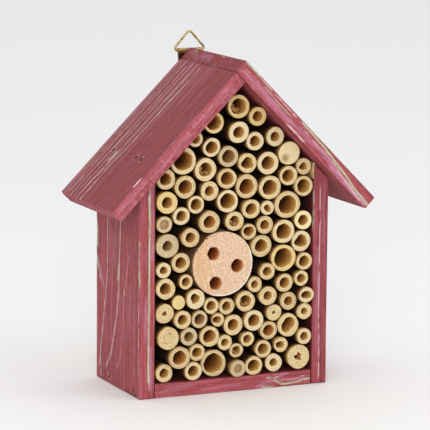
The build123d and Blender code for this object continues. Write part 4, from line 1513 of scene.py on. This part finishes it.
STAGE_SIZE = 14.0
SKY_STRENGTH = 0.85
CAMERA_TURN = math.radians(-24.13)    # to the left of straight ahead
CAMERA_LIFT = math.radians(9.46)
CAMERA_ROLL = math.radians(0.454)
CAMERA_AIM = Vector((-0.0130, -0.0335, 0.1053))
CAMERA_DISTANCE = 1.5136
CAMERA_LENS = 220.1
CAMERA_SENSOR = 36


def make_floor():
    """A plain floor, level with the hotel's foot."""
    mesh = bpy.data.meshes.new("pale_floor")
    half = STAGE_SIZE / 2
    square = [(-half, -half, 0), (half, -half, 0), (half, half, 0), (-half, half, 0)]
    mesh.from_pydata(square, [], [(0, 1, 2, 3)])
    mesh.materials.append(finish_floor())
    floor = bpy.data.objects.new("pale_floor", mesh)
    bpy.context.collection.objects.link(floor)
    floor.location.z = cad_low.z


def make_lamp(name, place, size, power, colour):
    """A soft square lamp that looks at the hotel."""
    light = bpy.data.lights.new(name, "AREA")
    light.shape = "SQUARE"
    light.size = size
    light.energy = power
    light.color = colour
    lamp = bpy.data.objects.new(name, light)
    bpy.context.collection.objects.link(lamp)
    lamp.location = place
    aim = (cad_low + cad_high) / 2 - Vector(place)
    lamp.rotation_euler = aim.to_track_quat("-Z", "Y").to_euler()


def make_camera():
    """A long lens in front and to the left, a little above the hotel's middle."""
    away = Vector((math.sin(CAMERA_TURN) * math.cos(CAMERA_LIFT),
                   -math.cos(CAMERA_TURN) * math.cos(CAMERA_LIFT), math.sin(CAMERA_LIFT)))
    right = Vector((math.cos(CAMERA_TURN), math.sin(CAMERA_TURN), 0))
    up = away.cross(right)
    tilted_right = math.cos(CAMERA_ROLL) * right + math.sin(CAMERA_ROLL) * up
    tilted_up = math.cos(CAMERA_ROLL) * up - math.sin(CAMERA_ROLL) * right
    place = Matrix((tilted_right, tilted_up, away)).transposed().to_4x4()
    place.translation = CAMERA_AIM + CAMERA_DISTANCE * away
    camera = bpy.data.objects.new("camera", bpy.data.cameras.new("camera"))
    bpy.context.collection.objects.link(camera)
    camera.matrix_world = place
    camera.data.lens = CAMERA_LENS
    camera.data.sensor_width = CAMERA_SENSOR
    bpy.context.scene.camera = camera


def make_sky():
    """Even white light from all round."""
    world = bpy.data.worlds.new("studio")
    bpy.context.scene.world = world
    world.use_nodes = True
    sky = world.node_tree.nodes["Background"]
    sky.inputs["Color"].default_value = (1.0, 1.0, 1.0, 1.0)
    sky.inputs["Strength"].default_value = SKY_STRENGTH


make_floor()
make_sky()
make_lamp("key", (-0.85, -1.75, 0.75), size=0.7, power=15, colour=(1.0, 0.99, 0.97))
make_lamp("fill", (1.5, -1.2, 1.0), size=1.2, power=5, colour=(1.0, 1.0, 1.0))
bpy.context.scene.view_settings.view_transform = "Standard"
make_camera()
